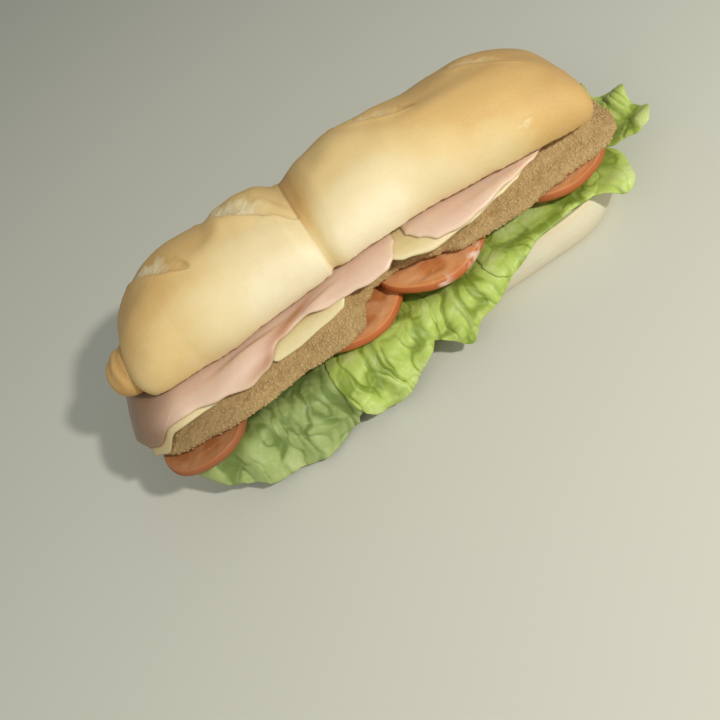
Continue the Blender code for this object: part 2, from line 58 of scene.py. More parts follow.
# %% Small helpers for numbers
def smooth(t):
    t = np.clip(t, 0.0, 1.0)
    return t * t * (3 - 2 * t)


def bell(distance, width):
    return np.exp(-((distance / width) ** 2))


def places(x, y, z=0.0):
    """Joins arrays of x, y and z into one array of points."""
    return np.stack(np.broadcast_arrays(x, y, z), axis=-1)


def table_value(table, x):
    """The value of a table of (x, value) pairs, joined smoothly and level past its ends."""
    x = np.asarray(x, dtype=float)
    value = np.full(x.shape, float(table[0][1]))
    for (x0, value0), (x1, value1) in zip(table, table[1:]):
        value += (value1 - value0) * smooth((x - x0) / (x1 - x0))
    return value


def curve_value(table, x):
    """The value of a table on one flowing curve through its pairs, which never swings past them."""
    knots = np.array(table, dtype=float)
    step = np.diff(knots[:, 0])
    rise = np.diff(knots[:, 1]) / step
    turns = rise[:-1] * rise[1:] <= 0
    slope = np.zeros(len(knots))
    slope[1:-1] = np.where(turns, 0, 2 * rise[:-1] * rise[1:] / np.where(turns, 1, rise[:-1] + rise[1:]))
    x = np.clip(x, knots[0, 0], knots[-1, 0])
    at = np.clip(np.searchsorted(knots[:, 0], x, side="right") - 1, 0, len(knots) - 2)
    t = (x - knots[at, 0]) / step[at]
    lean = step[at] * (slope[at] * t * (1 - t) ** 2 - slope[at + 1] * t**2 * (1 - t))
    return knots[at, 1] + (knots[at + 1, 1] - knots[at, 1]) * smooth(t) + lean


def noise(points, size, seed=0):
    """Smooth lumps between -1 and 1, about `size` millimetres wide."""
    scaled = np.asarray(points, dtype=float) / size
    cell = np.floor(scaled).astype(np.int64)
    t = smooth(scaled - cell)
    total = np.zeros(scaled.shape[:-1])
    for corner in np.ndindex(2, 2, 2):
        at = cell + np.array(corner)
        code = at[..., 0] * 73856093 ^ at[..., 1] * 19349663 ^ at[..., 2] * 83492791
        code = code ^ (seed + 11) * 2654435761
        code = ((code ^ (code >> 13)) * 1274126177) & 0xFFFFFFFF
        value = ((code ^ (code >> 16)) & 0xFFFF) / 32767.5 - 1
        share = np.prod(np.where(np.array(corner) == 1, t, 1 - t), axis=-1)
        total += value * share
    return total


print("noise at the origin:", round(float(noise(np.zeros((1, 3)) + 3.3, 7.0)[0]), 3))

# %% [markdown]
# All pieces of food here are closed skins made of rings of points. One helper joins the rings, merges
# the points that fall together at a pole or a seam, turns the faces outwards, and stores numbers such
# as how brown the crust is, with painted shade mixed in, as attributes of the mesh, so that materials
# can read them.


# %% Make a mesh from rings of points
def add_object(name, data):
    new = bpy.data.objects.new(name, data)
    bpy.context.scene.collection.objects.link(new)
    return new


def ring_faces(rings, around):
    """Quads between closed rings that lie one after another in the list of points."""
    i, j = np.meshgrid(np.arange(rings - 1), np.arange(around), indexing="ij")
    here, there = i * around, (i + 1) * around
    after = (j + 1) % around
    return np.stack([here + j, here + after, there + after, there + j], axis=-1).reshape(-1, 4)


def shell_piece(name, grid, material, marks, node):
    """A closed skin from an array of rings, places round the ring, and x, y, z."""
    rings, around = grid.shape[:2]
    mesh = bpy.data.meshes.new(name)
    mesh.from_pydata((grid.reshape(-1, 3) * MM).tolist(), [], ring_faces(rings, around).tolist())
    for mark, values in marks.items():
        layer = mesh.attributes.new(mark, "FLOAT", "POINT")
        values = np.broadcast_to(values, (rings, around)).reshape(-1)
        layer.data.foreach_set("value", values.astype(np.float32))
    bm = bmesh.new()
    bm.from_mesh(mesh)
    bmesh.ops.remove_doubles(bm, verts=bm.verts, dist=0.00001 * MM)
    bmesh.ops.recalc_face_normals(bm, faces=bm.faces)
    bm.to_mesh(mesh)
    bm.free()
    mesh.shade_smooth()
    mesh.materials.append(material)
    piece = add_object(name, mesh)
    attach(piece, "root")
    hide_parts(node)
    print(name, len(mesh.polygons), "faces")
    return piece


# %% [markdown]
# A loaf is a long shape with round ends. Its outline is walked once round: along the near side, round
# the right end, back along the far side and round the left end. Each stop has a place on the loaf's
# spine and the angle in which it looks out.


# %% Walk once round a long shape
def stops_round(left, right, side_steps, end_steps):
    side = np.arange(side_steps) / side_steps
    end = np.arange(end_steps) / end_steps * math.pi
    quarter = math.pi / 2
    near, far = left + (right - left) * side, right + (left - right) * side
    spine = np.concatenate([near, np.full(end_steps, right), far, np.full(end_steps, left)])
    level = np.zeros(side_steps)
    angle = np.concatenate([level - quarter, end - quarter, level + quarter, end + quarter])
    return spine, angle


def blunt_reach(side, end_radius, angle, bluntness):
    """How far a rounded end reaches at an angle: an ellipse at a bluntness of 2, and squarer above it."""
    share = np.abs(np.cos(angle) / end_radius) ** bluntness + np.abs(np.sin(angle) / side) ** bluntness
    return share ** (-1 / bluntness)


print("stops:", len(stops_round(-84, 88, 200, 60)[0]))

# %% [markdown]
# ## Where the layers lie
#
# The lower half of the roll is cut level. Above it, two tomato slices lean on each other, so the
# cutlet, the cheese, the ham and the upper half all rise a little over them. The whole stack also
# leans back from the open side.

# %% Heights of the layers
LOWER_TOP, TOMATO_BASE, CUTLET_BASE, SLICE_BASE, UPPER_BASE = 20.6, 26.0, 32.3, 46.3, 52.1
STACK_TILT = 0.075
CLEFT_X = -10


def hump(x):
    return 3.9 * bell(x - 8, 40)


def leaning(base, x, y):
    """The height of a layer that rises over the tomato slices and leans back."""
    return base - STACK_TILT * y + hump(x)


def lower_cut(y):
    return LOWER_TOP - 0.03 * y


def upper_cut(x, y):
    return leaning(UPPER_BASE, x, y) - 3.6 * smooth((x - 82) / 34)


def cleft(x, left=1.0, right=4.0):
    """1 in the cleft between the two lobes of the crust, steep on its left and round on its right."""
    return np.where(x < CLEFT_X, bell(x - CLEFT_X, left), bell(x - CLEFT_X, right))


print("upper cut at the front:", round(float(upper_cut(np.array(0.0), -22.0)), 1), "mm")

# %% [markdown]
# ## Effects that several foods share
#
# Bread, meat and leaves are never one flat colour. A small group mixes slow blotches with fine specks
# and gives back a mask, so each material can shift its own colour by it. A second group turns fine
# grain into a normal.

# %% Shared shader groups
def add_node(tree, kind, at=(0, 0), **values):
    node = tree.nodes.new(kind)
    node.location = at
    for key, value in values.items():
        if hasattr(node, key):
            setattr(node, key, value)
        else:
            node.inputs[key.replace("_", " ")].default_value = value
    return node


def group_sockets(tree, numbers, output):
    for name, value in numbers.items():
        tree.interface.new_socket(name, in_out="INPUT", socket_type="NodeSocketFloat").default_value = value
    tree.interface.new_socket(output[0], in_out="OUTPUT", socket_type=output[1])


def join(tree, *wires):
    """Each wire is a node and its output, then a node and its input."""
    for giver, output, taker, socket in wires:
        tree.links.new(giver.outputs[output], taker.inputs[socket])


def make_blotch_group():
    """Slow blotches with finer ones in them, over Object coordinates in metres."""
    tree = bpy.data.node_groups.new("Food blotches", "ShaderNodeTree")
    group_sockets(tree, {"Scale": 60.0, "Fine Scale": 400.0, "Fine Share": 0.3}, ("Mask", "NodeSocketFloat"))
    inside = add_node(tree, "NodeGroupInput", (-800, 0))
    coords = add_node(tree, "ShaderNodeTexCoord", (-800, -200))
    slow = add_node(tree, "ShaderNodeTexNoise", (-500, 100), Detail=3.0, Roughness=0.55)
    fine = add_node(tree, "ShaderNodeTexNoise", (-500, -150), Detail=2.0, Roughness=0.6)
    mix = add_node(tree, "ShaderNodeMix", (-250, 0), data_type="FLOAT")
    spread = add_node(tree, "ShaderNodeMapRange", (-50, 0), From_Min=0.3, From_Max=0.7)
    outside = add_node(tree, "NodeGroupOutput", (150, 0))
    join(
        tree,
        (coords, "Object", slow, "Vector"), (coords, "Object", fine, "Vector"),
        (inside, "Scale", slow, "Scale"), (inside, "Fine Scale", fine, "Scale"),
        (inside, "Fine Share", mix, 0), (slow, "Fac", mix, 2), (fine, "Fac", mix, 3),
        (mix, 0, spread, "Value"), (spread, "Result", outside, "Mask"),
    )
    return tree


def make_grain_group():
    """A normal with fine grain in it."""
    tree = bpy.data.node_groups.new("Food grain", "ShaderNodeTree")
    group_sockets(tree, {"Scale": 900.0, "Height": 0.0002, "Strength": 0.5}, ("Normal", "NodeSocketVector"))
    inside = add_node(tree, "NodeGroupInput", (-800, 0))
    coords = add_node(tree, "ShaderNodeTexCoord", (-800, -200))
    grain = add_node(tree, "ShaderNodeTexNoise", (-500, 0), Detail=4.0, Roughness=0.65)
    bump = add_node(tree, "ShaderNodeBump", (-200, 0))
    outside = add_node(tree, "NodeGroupOutput", (50, 0))
    join(
        tree,
        (coords, "Object", grain, "Vector"), (inside, "Scale", grain, "Scale"),
        (inside, "Height", bump, "Distance"), (inside, "Strength", bump, "Strength"),
        (grain, "Fac", bump, "Height"), (bump, "Normal", outside, "Normal"),
    )
    return tree


BLOTCHES = make_blotch_group()
GRAIN = make_grain_group()
print("groups:", BLOTCHES.name, GRAIN.name)

# %% [markdown]
# A food material starts from one helper. It mixes a list of colours one after another, each by its
# own mask: a blotch mask, or an attribute of the mesh such as how deep a slash is open at that point.


# %% A helper that mixes the colours of a food
def linear(red, green, blue):
    """A colour as seen on a screen, from 0 to 255, as the shader wants it."""
    def one(value):
        value /= 255
        return value / 12.92 if value <= 0.04045 else ((value + 0.055) / 1.055) ** 2.4
    return (one(red), one(green), one(blue), 1.0)


class Food:
    """A material in the making: its node tree, and the colour mixed so far. Colours run from 0 to 255."""

    def __init__(self, name, colour, roughness, **constants):
        self.material = bpy.data.materials.new(name)
        self.material.use_nodes = True
        self.tree = self.material.node_tree
        self.shader = self.tree.nodes["Principled BSDF"]
        self.shader.inputs["Base Color"].default_value = linear(*colour)
        self.shader.inputs["Roughness"].default_value = roughness
        for name, value in constants.items():
            self.shader.inputs[name.replace("_", " ")].default_value = value
        self.base = linear(*colour)
        self.last = None
        self.count = 0

    def add(self, kind, across, **values):
        return add_node(self.tree, kind, (across, -250 * self.count), **values)

    def blotch(self, scale, fine_scale, fine_share):
        values = {"Scale": scale, "Fine Scale": fine_scale, "Fine Share": fine_share}
        return self.add("ShaderNodeGroup", -900, node_tree=BLOTCHES, **values).outputs["Mask"]

    def mark(self, name):
        return self.add("ShaderNodeAttribute", -900, attribute_name=name).outputs["Fac"]

    def ranged(self, mask, low, high, to_low=0.0, to_high=1.0):
        node = self.add(
            "ShaderNodeMapRange", -650, interpolation_type="SMOOTHSTEP",
            From_Min=low, From_Max=high, To_Min=to_low, To_Max=to_high,
        )
        self.tree.links.new(mask, node.inputs["Value"])
        return node.outputs["Result"]

    def times(self, one, other):
        node = self.add("ShaderNodeMath", -450, operation="MULTIPLY")
        self.tree.links.new(one, node.inputs[0])
        if hasattr(other, "node"):
            self.tree.links.new(other, node.inputs[1])
        else:
            node.inputs[1].default_value = other
        return node.outputs["Value"]

    def towards(self, colour, mask):
        """Mixes the colour so far towards another one where the mask is high."""
        node = self.add("ShaderNodeMix", -250, data_type="RGBA")
        self.tree.links.new(mask, node.inputs[0])
        if self.last is None:
            node.inputs[6].default_value = self.base
        else:
            self.tree.links.new(self.last, node.inputs[6])
        node.inputs[7].default_value = linear(*colour)
        self.last = node.outputs[2]
        self.count += 1
        self.tree.links.new(self.last, self.shader.inputs["Base Color"])

    def towards_mark(self, colour, name, share):
        self.towards(colour, self.times(self.mark(name), share))

    def towards_blotch(self, colour, scale, fine_scale, fine_share, share):
        self.towards(colour, self.times(self.blotch(scale, fine_scale, fine_share), share))

    def rough_by(self, mask, low, high):
        self.tree.links.new(self.ranged(mask, 0.0, 1.0, low, high), self.shader.inputs["Roughness"])

    def grained(self, scale, height, strength):
        """Adds the grain and gives back the finished material."""
        values = {"Scale": scale, "Height": height, "Strength": strength}
        node = add_node(self.tree, "ShaderNodeGroup", (-250, -900), node_tree=GRAIN, **values)
        self.tree.links.new(node.outputs["Normal"], self.shader.inputs["Normal"])
        return self.material


print("white bread in the shader:", [round(c, 2) for c in linear(243, 229, 193)])

# %% [markdown]
# ## The crust
#
# A soft roll is glazed and baked pale gold. It is creamy low on its flanks and darker along the crown
# and at its ends, partly from browning and partly as painted shade. Where a slash opened, the dough
# inside stayed pale and dull. The mesh carries four marks for that: how brown a point is, with painted
# shade mixed in, how far a slash is open there, the painted shade under the slash lips and in the
# cleft, and whether it is crumb.

# %% Bread materials
BREAD_GLOW = {"Subsurface_Weight": 0.06, "Subsurface_Scale": 0.003}


def make_crust():
    food = Food("Crust of the roll", (245, 234, 202), 0.5, Specular_IOR_Level=0.22, **BREAD_GLOW)
    # Browner up the dome, at the ends and beside the cleft: partly browning, partly painted shade.
    browning_and_shade = food.mark("browning_and_shade")
    food.towards((229, 212, 166), food.ranged(browning_and_shade, -0.1, 0.08))
    food.towards((223, 196, 136), food.ranged(browning_and_shade, 0.08, 0.42))
    food.towards((211, 173, 106), food.ranged(browning_and_shade, 0.34, 0.75))
    food.towards((188, 146, 83), food.ranged(browning_and_shade, 0.7, 1.25))
    food.towards_blotch((196, 156, 94), 55, 380, 0.4, 0.16)
    food.towards_blotch((246, 230, 186), 130, 1100, 0.6, 0.14)
    opened = food.mark("opened")
    food.towards((232, 218, 178), food.ranged(opened, 0.05, 1.0))
    food.towards((200, 170, 116), food.times(food.times(food.blotch(150, 700, 0.5), opened), 0.5))
    # Painted shade: dark lines under the slash lips, down their far sides, at their tucks and in the cleft.
    food.towards((158, 118, 68), food.times(food.ranged(food.mark("lip_and_cleft_shade"), 0.1, 1.0), 0.75))
    food.towards((244, 232, 200), food.ranged(food.mark("crumb"), 0.2, 0.8))
    food.rough_by(opened, 0.55, 0.8)
    return food.grained(700, 0.00025, 0.35)


def make_lower_crust():
    food = Food("Crust of the lower half", (217, 216, 196), 0.6, **BREAD_GLOW)
    food.towards_mark((222, 190, 136), "browning_and_shade", 0.8)
    food.towards_blotch((220, 206, 170), 60, 500, 0.4, 0.3)
    food.towards((245, 238, 214), food.ranged(food.mark("crumb"), 0.2, 0.8))
    return food.grained(800, 0.0003, 0.5)


CRUST = make_crust()
LOWER_CRUST = make_lower_crust()
print("bread:", CRUST.name, "and", LOWER_CRUST.name)

# %% [markdown]
# ## The upper half of the roll
#
# Each slash is a line across the crown. On its near side the crust lifts into a lip; behind the lip
# it drops steeply and then climbs back slowly, because the dough pushed out from below there as it
# baked. The table gives each slash its near end and its far end, its half width, its depth, how
# pale its dough is, and how strong the painted shade of a small tuck at its near end is.

# %% Slashes on the crown
SLASHES = (
    (-58, 2, -93, 39, 6.0, 2.4, 0.95, 0.5),
    (-8, -1.5, -52, 42, 7.5, 2.8, 1.0, 0.0),
    (58, 12, 22, 37, 6.0, 2.6, 0.6, 0.75),
    (108, 3, 74, 39, 5.5, 1.8, 0.55, 0.0),
)
print("slashes:", len(SLASHES))


def slashes(x, y):
    """How far the slashes lower the crown, how far the dough is open there, and the painted shade under
    their lips, down their far sides and at their tucks.
    """
    lowered = np.zeros(x.shape)
    opened = np.zeros(x.shape)
    lip_and_cleft_shade = np.zeros(x.shape)
    for near_x, near_y, far_x, far_y, half_width, depth, pale, tucked in SLASHES:
        run_x, run_y = far_x - near_x, far_y - near_y
        length = math.hypot(run_x, run_y)
        along = ((x - near_x) * run_x + (y - near_y) * run_y) / length**2
        across = ((x - near_x) * run_y - (y - near_y) * run_x) / length
        wander = 1.3 * noise(places(along * 40, across * 0.3, near_x), 9.0, 3)
        wander = wander + 0.5 * noise(places(along * 50, 0.5 * across, near_x), 2.6, 4)
        swell = np.sqrt(np.clip(np.sin(math.pi * np.clip(along, 0, 1)), 0, 1))
        # u is 0 along the middle of the slash, and 1 or -1 at its two edges
        u = (across + wander) / np.maximum(half_width * swell, 0.01)
        drop = smooth((u + 1.1) / 0.4) * (1 - smooth((u + 0.7) / 1.9))
        lip = bell(u + 1.25, 0.4)
        inside = (along > 0) & (along < 1) & ((near_x > 0) | (x < CLEFT_X))
        lowered += np.where(inside, swell * (depth * drop - 0.7 * lip), 0)
        ragged = 0.5 * noise(places(x, y), 4.4, 5) + 0.25 * noise(places(x, y), 1.6, 6)
        bare = smooth((u + 1.05) / 0.35) * (1 - smooth((u - 0.1 + ragged) / 0.7))
        bare = bare * smooth((along - 0.08) / 0.35) * pale * (0.75 + 0.5 * ragged)
        opened = np.maximum(opened, np.where(inside, bare * swell, 0))
        # Painted shade: a dark line under the near lip, a shaded band down the far side and a dark tuck at
        # the near end.
        far_edge = bell(u - 0.6 + 0.5 * ragged, 0.4) * (0.35 + 0.5 * smooth(1 - along / 0.5))
        edge = 0.6 * bell(u + 0.9, 0.13) + far_edge
        tuck = tucked * bell(np.hypot(across + 0.5 * wander, 0.45 * (along * length - 3)), 1.9)
        lip_and_cleft_shade = np.maximum(lip_and_cleft_shade, np.where(inside, edge * swell, 0) + tuck)
    return lowered, opened, lip_and_cleft_shade


# %% The upper half as rings
UPPER_ENDS = (-77, 90)
UPPER_MIDDLE_Y = 12.5
UPPER_END_RADIUS = 31
SCUFF_X = 89
UPPER_NEAR_EDGE = (
    (-90, 30.5), (-64, 33.2), (-44, 31.2), (-16, 31.6), (14, 31.2), (40, 29.6), (60, 31.6), (90, 35.2),
    (120, 40),
)
UPPER_CROWN = (
    (-110, 29), (-92, 32.5), (-66, 36.7), (-40, 35), (-18, 31.8), (-10, 26), (4, 31), (40, 33.2),
    (85, 32.8), (122, 31),
)
UPPER_WAVES = (
    (-110, 0), (-92, -1), (-66, 0), (-50, -1.3), (-39, 1.5), (-30, 2.2), (-22, 1.4), (-14, -1.5),
    (-10, 0), (4, 0), (20, 1.6), (40, 0), (60, -2.2), (72, -1.6), (85, -1.5), (96, -2.1), (122, 0),
)


def dome(tuck, steps):
    """Shares of the reach and of the height, from the foot of a dome that is tucked in below to its top."""
    turn = np.linspace(-tuck, math.pi / 2, steps)
    return np.cos(turn) / math.cos(tuck), (np.sin(turn) + math.sin(tuck)) / (1 + math.sin(tuck))


def upper_browning_and_shade(x, up, flat):
    """How brown the crust is, with painted shade mixed in: darker up the dome and at both ends, partly
    browning and partly painted shade, painted shade just right of the cleft, and faint mottles.
    """
    right_end = smooth((x - 20) / 84)
    browning_and_shade = (0.56 * smooth(up) + 0.22 * smooth(up - 0.75)) * (1 - 0.65 * right_end)
    low = (1 - smooth(up * 3)) * (1 - smooth((x - 76) / 24))
    browning_and_shade = browning_and_shade + 0.5 * smooth((-x - 34) / 66) + 0.98 * right_end * (1 - 0.55 * low) - 0.08
    # Painted shade where the right lobe rounds down into the cleft.
    cleft_side_shade = bell(x + 7.5, 4.0) * (0.3 + 0.5 * smooth(up * 1.5 - 0.3)) * (x > CLEFT_X)
    mottled = 0.12 * noise(flat, 16, 12) + 0.05 * noise(flat, 5, 13)
    return browning_and_shade + cleft_side_shade + mottled * (0.25 + 0.75 * smooth(browning_and_shade * 2.5))


def make_upper_half():
    spine, angle = stops_round(*UPPER_ENDS, int(300 * DETAIL), int(90 * DETAIL))
    near_side = np.sin(angle) < 0
    far_edge = 35 + 1.2 * np.cos((spine - 55) / 62 * math.pi)
    side = np.where(near_side, table_value(UPPER_NEAR_EDGE, spine), far_edge) - 2.4 * cleft(spine)
    square = np.where(near_side, np.where(np.cos(angle) > 0, 10.0, 5.5), 3.0)
    dome_share, dome_rise = dome(math.radians(16), int(96 * DETAIL))
    under = np.concatenate([np.linspace(0, 0.9, 26), np.array([0.93, 0.96, 0.985])])
    share = np.concatenate([under, dome_share])[:, None]
    rise = np.clip(np.concatenate([0 * under, dome_rise]), 0, 1)[:, None]
    reach = blunt_reach(side, UPPER_END_RADIUS, angle, 2.3 + (square - 2.3) * (1 - rise) ** 1.5)
    x = spine + np.cos(angle) * share * reach
    y = UPPER_MIDDLE_Y + np.sin(angle) * share * reach
    crown = curve_value(UPPER_CROWN, x)
    lowered, opened, lip_and_cleft_shade = slashes(x, y)
    on_crown = smooth(2 * rise - 0.6)
    flat = places(x, y, rise * crown)
    soft = 0.55 * noise(flat, 23, 1) + 0.25 * noise(flat, 9, 2)
    edge = bell(rise, 0.05)
    ragged = edge * (0.3 * noise(flat, 4.1, 5) + 0.35 * noise(flat, 1.2, 6))
    torn = opened * on_crown * (0.3 * noise(flat, 3.2, 7) + 0.3 * noise(flat, 1.2, 8))
    crumb = np.where(rise > 0, 0, smooth((0.985 - share) / 0.01)) + 0 * x
    pores = crumb * (0.35 * noise(flat, 2.4, 9) - 0.5 * smooth(noise(flat, 3.6, 10) * 2.5 - 1.0))
    waves = (table_value(UPPER_WAVES, x) * smooth((y - 2) / 14) - lowered - 0.6) * on_crown
    z = upper_cut(x, y) + rise * crown + waves + soft * smooth(rise * 4) + ragged + torn + 0.5 * pores
    up = (y + 24) / 36
    # Painted shade: a dark line down the cleft between the lobes.
    cleft_shade = cleft(x, 0.7, 1.3) * smooth(rise * 6) * (rise > 0)
    scuff = bell(x - SCUFF_X, 4.5) * bell(rise - 0.47 - 0.012 * (x - SCUFF_X), 0.07) * near_side
    scuff = scuff * smooth(3 * noise(flat, 1.9, 15) + 0.7)
    marks = {
        "browning_and_shade": upper_browning_and_shade(x, up, flat),
        "opened": np.maximum(opened * on_crown, 0.7 * scuff),
        "crumb": crumb,
        "lip_and_cleft_shade": np.maximum(lip_and_cleft_shade * on_crown * 0.8, cleft_shade * (0.4 + 0.4 * smooth(up - 0.1))),
    }
    shell_piece("upper_half", places(x, y, z), CRUST, marks, "bun_top")


make_upper_half()

# %% [markdown]
# The knob at the left end is where the baker pinched the dough off. It is a small round lump, ribbed
# from the pinch, and pushes out from the end of the upper half.


# %% The knob of dough
KNOB_X, KNOB_Y, KNOB_HEIGHT = -108.5, 4, 13


def make_knob():
    angle = np.arange(int(160 * DETAIL)) / int(160 * DETAIL) * 2 * math.pi
    dome_share, dome_rise = dome(0.25, int(60 * DETAIL))
    share = np.concatenate([[0.0, 0.5], dome_share])[:, None]
    rise = np.concatenate([[0.0, 0.0], dome_rise])[:, None]
    x = KNOB_X + np.cos(angle) * share * 12
    y = KNOB_Y + np.sin(angle) * share * 13.5
    flat = places(x, y, rise * KNOB_HEIGHT + 0 * x)
    ribs = 0.4 * np.sin(x * 1.15 + 0.8 * noise(flat, 7, 4)) * smooth(share * 3) * smooth(rise * 3)
    z = upper_cut(KNOB_X, KNOB_Y) + 0.9 + rise * KNOB_HEIGHT + ribs + 0.3 * noise(flat, 7, 3) * rise
    browning_and_shade = 1.35 + 0.2 * noise(flat, 8, 5) - 0.2 * smooth((x + 112) / 6)
    marks = {"browning_and_shade": browning_and_shade, "opened": 0 * x, "crumb": 0 * x, "lip_and_cleft_shade": 0 * x}
    shell_piece("knob_of_dough", places(x, y, z), CRUST, marks, "bun_top")


make_knob()

# %% [markdown]
# ## The lower half of the roll
#
# Only a strip of it shows below the leaves: pale on its flank, with a thin browner line where the
# knife went through, and open crumb on the cut face.


# %% The lower half as rings
LOWER_ENDS = (-74, 84)
CUT_RINGS = 30


def make_lower_half():
    spine, angle = stops_round(*LOWER_ENDS, int(260 * DETAIL), int(80 * DETAIL))
    reach = blunt_reach(36.2 - 1.0 * cleft(spine), 40, angle, 2.1)
    flank = np.array([
        (0, 0), (0.3, 0), (0.6, 0), (0.78, 0), (0.84, 0), (0.9, 0.03), (0.95, 0.08), (0.99, 0.16),
        (1.02, 0.27), (1.04, 0.4), (1.05, 0.54), (1.045, 0.68), (1.03, 0.8), (1.015, 0.9), (1, 0.97),
        (0.985, 1), (0.95, 1),
    ])
    steps = np.arange(len(flank))
    fine = np.linspace(0, len(flank) - 1, int(90 * DETAIL))
    share = np.concatenate([np.interp(fine, steps, flank[:, 0]), np.linspace(0.93, 0.0, CUT_RINGS)])[:, None]
    height = np.concatenate([np.interp(fine, steps, flank[:, 1]), np.ones(CUT_RINGS)])[:, None]
    x = spine + np.cos(angle) * share * reach
    y = np.sin(angle) * share * reach
    flat = places(x, y, height * 21)
    on_cut = np.concatenate([np.zeros(len(fine)), np.ones(CUT_RINGS)])[:, None] + 0 * x
    pores = on_cut * (0.3 * noise(flat, 2.4, 9) - 0.6 * smooth(noise(flat, 3.6, 10) * 2.5 - 1.0))
    off_floor = smooth(height * 4)
    soft = 0.4 * noise(flat, 19, 2) + 0.18 * noise(flat, 5, 3)
    z = height * lower_cut(y) + off_floor * soft * (1 - on_cut)
    z = z + pores + bell(height - 1, 0.03) * 0.4 * noise(flat, 2.2, 5)
    y = y + np.sin(angle) * off_floor * (1 - on_cut) * 0.35 * noise(flat, 8, 6)
    browning_and_shade = 0.25 + 0.5 * bell(height, 0.2) + 0.35 * bell(height - 0.95, 0.06) + 0.15 * noise(flat, 16, 7)
    marks = {"browning_and_shade": browning_and_shade * (1 - on_cut), "crumb": on_cut}
    shell_piece("lower_half", places(x, y, z), LOWER_CRUST, marks, "bun_bottom")


make_lower_half()

# %% [markdown]
# ## Food that drapes
#
# Leaves, cheese and ham are flat when they are laid down. Each of their points lies over a shelf:
# level as long as the shelf carries it, then bent round the shelf's edge, then hanging down or
# standing up at a slope. The rule below bends a whole array of flat points at once and also gives the
# way that the bent surface looks out.


# %% Bend flat food over a shelf
def past_shelf(x, y, shelf):
    """The nearest place on the shelf, the way out from there, and how far each point lies past it."""
    middle_x, middle_y, half_length, half_width, corner = shelf
    inner_x = middle_x + np.clip(x - middle_x, corner - half_length, half_length - corner)
    inner_y = middle_y + np.clip(y - middle_y, corner - half_width, half_width - corner)
    away = np.hypot(x - inner_x, y - inner_y)
    past = np.maximum(away - corner, 0)
    safe = np.maximum(away, 1e-6)
    out_x, out_y = (x - inner_x) / safe, (y - inner_y) / safe
    foot_x = np.where(past > 0, inner_x + out_x * corner, x)
    foot_y = np.where(past > 0, inner_y + out_y * corner, y)
    return foot_x, foot_y, out_x, out_y, past


def hang(x, y, shelf, radius, slope):
    """Where flat points come to lie, how far they drop, and which way the bent surface looks there."""
    foot_x, foot_y, out_x, out_y, past = past_shelf(x, y, shelf)
    turn = np.minimum(past / radius, abs(slope))
    straight = past - radius * turn
    run = radius * np.sin(turn) + straight * np.cos(turn)
    drop = math.copysign(1, slope) * (radius * (1 - np.cos(turn)) + straight * np.sin(turn))
    lean = math.copysign(1, slope) * np.sin(turn)
    normal = np.stack([out_x * lean, out_y * lean, np.cos(turn)], axis=-1)
    return foot_x + out_x * run, foot_y + out_y * run, drop, normal, out_x, out_y, past


def fan(outline, rings, uneven, power):
    """Flat rings from the middle of an outline to its uneven rim, and the share of the way out of each."""
    middle = outline.mean(axis=0)
    share = (np.arange(rings) / (rings - 1))[:, None, None]
    grown = 1 + uneven[None, :, None] * share**power
    return middle + (outline - middle)[None] * share * grown, share[..., 0]


def sheet_piece(name, flat_grid, surface, thickness, material, marks_of, node):
    """A thin closed piece: both faces follow one surface, in rings that run from the middle to the rim."""
    u, v = flat_grid[..., 0], flat_grid[..., 1]
    step = 0.15
    here = surface(u, v)
    normal = np.cross(surface(u + step, v) - here, surface(u, v + step) - here)
    normal /= np.linalg.norm(normal, axis=-1, keepdims=True)
    upper = here + normal * (thickness / 2)
    lower = here - normal * (thickness / 2)
    rim = (upper[-1] + lower[-1]) / 2
    away = here[-1] - here[-2]
    rim = rim + away / np.linalg.norm(away, axis=-1, keepdims=True) * (thickness * 0.35)
    grid = np.concatenate([upper, rim[None], lower[::-1]])
    marks = {}
    for mark, values in marks_of(u, v).items():
        values = values + 0 * u
        marks[mark] = np.concatenate([values, values[-1:], values[::-1]])
    shell_piece(name, grid, material, marks, node)


# %% [markdown]
# ## Lettuce
#
# A leaf has a pale rib from its root, side veins that branch off it, and a skin that puffs up between
# the veins like a quilt. Toward its rim it grows too fast for its own length, so it ruffles. The
# puffs and the ruffles are real relief here, and the veins are kept as a mark for the colour. Painted
# shade darkens the hollows of the crumples and painted light brightens their ridges.

# %% Lettuce material
def make_lettuce(name, deep, fresh, pale):
    food = Food(name, deep, 0.46, Subsurface_Weight=0.12, Subsurface_Scale=0.002, Specular_IOR_Level=0.4)
    # Painted shade and light from the crumples: the deep green stays in their hollows, the lighter greens
    # and a painted highlight go on their ridges, with some random tone.
    food.towards(fresh, food.ranged(food.mark("fresh"), -0.05, 0.6))
    food.towards(pale, food.times(food.ranged(food.mark("fresh"), 0.65, 1.2), 0.7))
    food.towards_blotch(deep, 150, 800, 0.5, 0.3)
    food.towards_mark(pale, "vein", 0.14)
    food.towards_mark((206, 220, 150), "rib", 0.22)
    return food.grained(900, 0.0002, 0.35)


DULL_LETTUCE = make_lettuce("Lettuce, dull", (108, 127, 60), (162, 179, 108), (188, 201, 140))
BRIGHT_LETTUCE = make_lettuce("Lettuce, bright", (128, 148, 52), (182, 203, 100), (208, 222, 150))
print("lettuce:", DULL_LETTUCE.name, BRIGHT_LETTUCE.name)

# %% [markdown]
# The table gives each leaf its lift over the leaves below it, the same at its rim, its slope past the
# shelf, the ends of its rib, its material, how crinkled it is, and its outline. The shelf is given by
# its middle, half its length and width, and the radius of its corners.

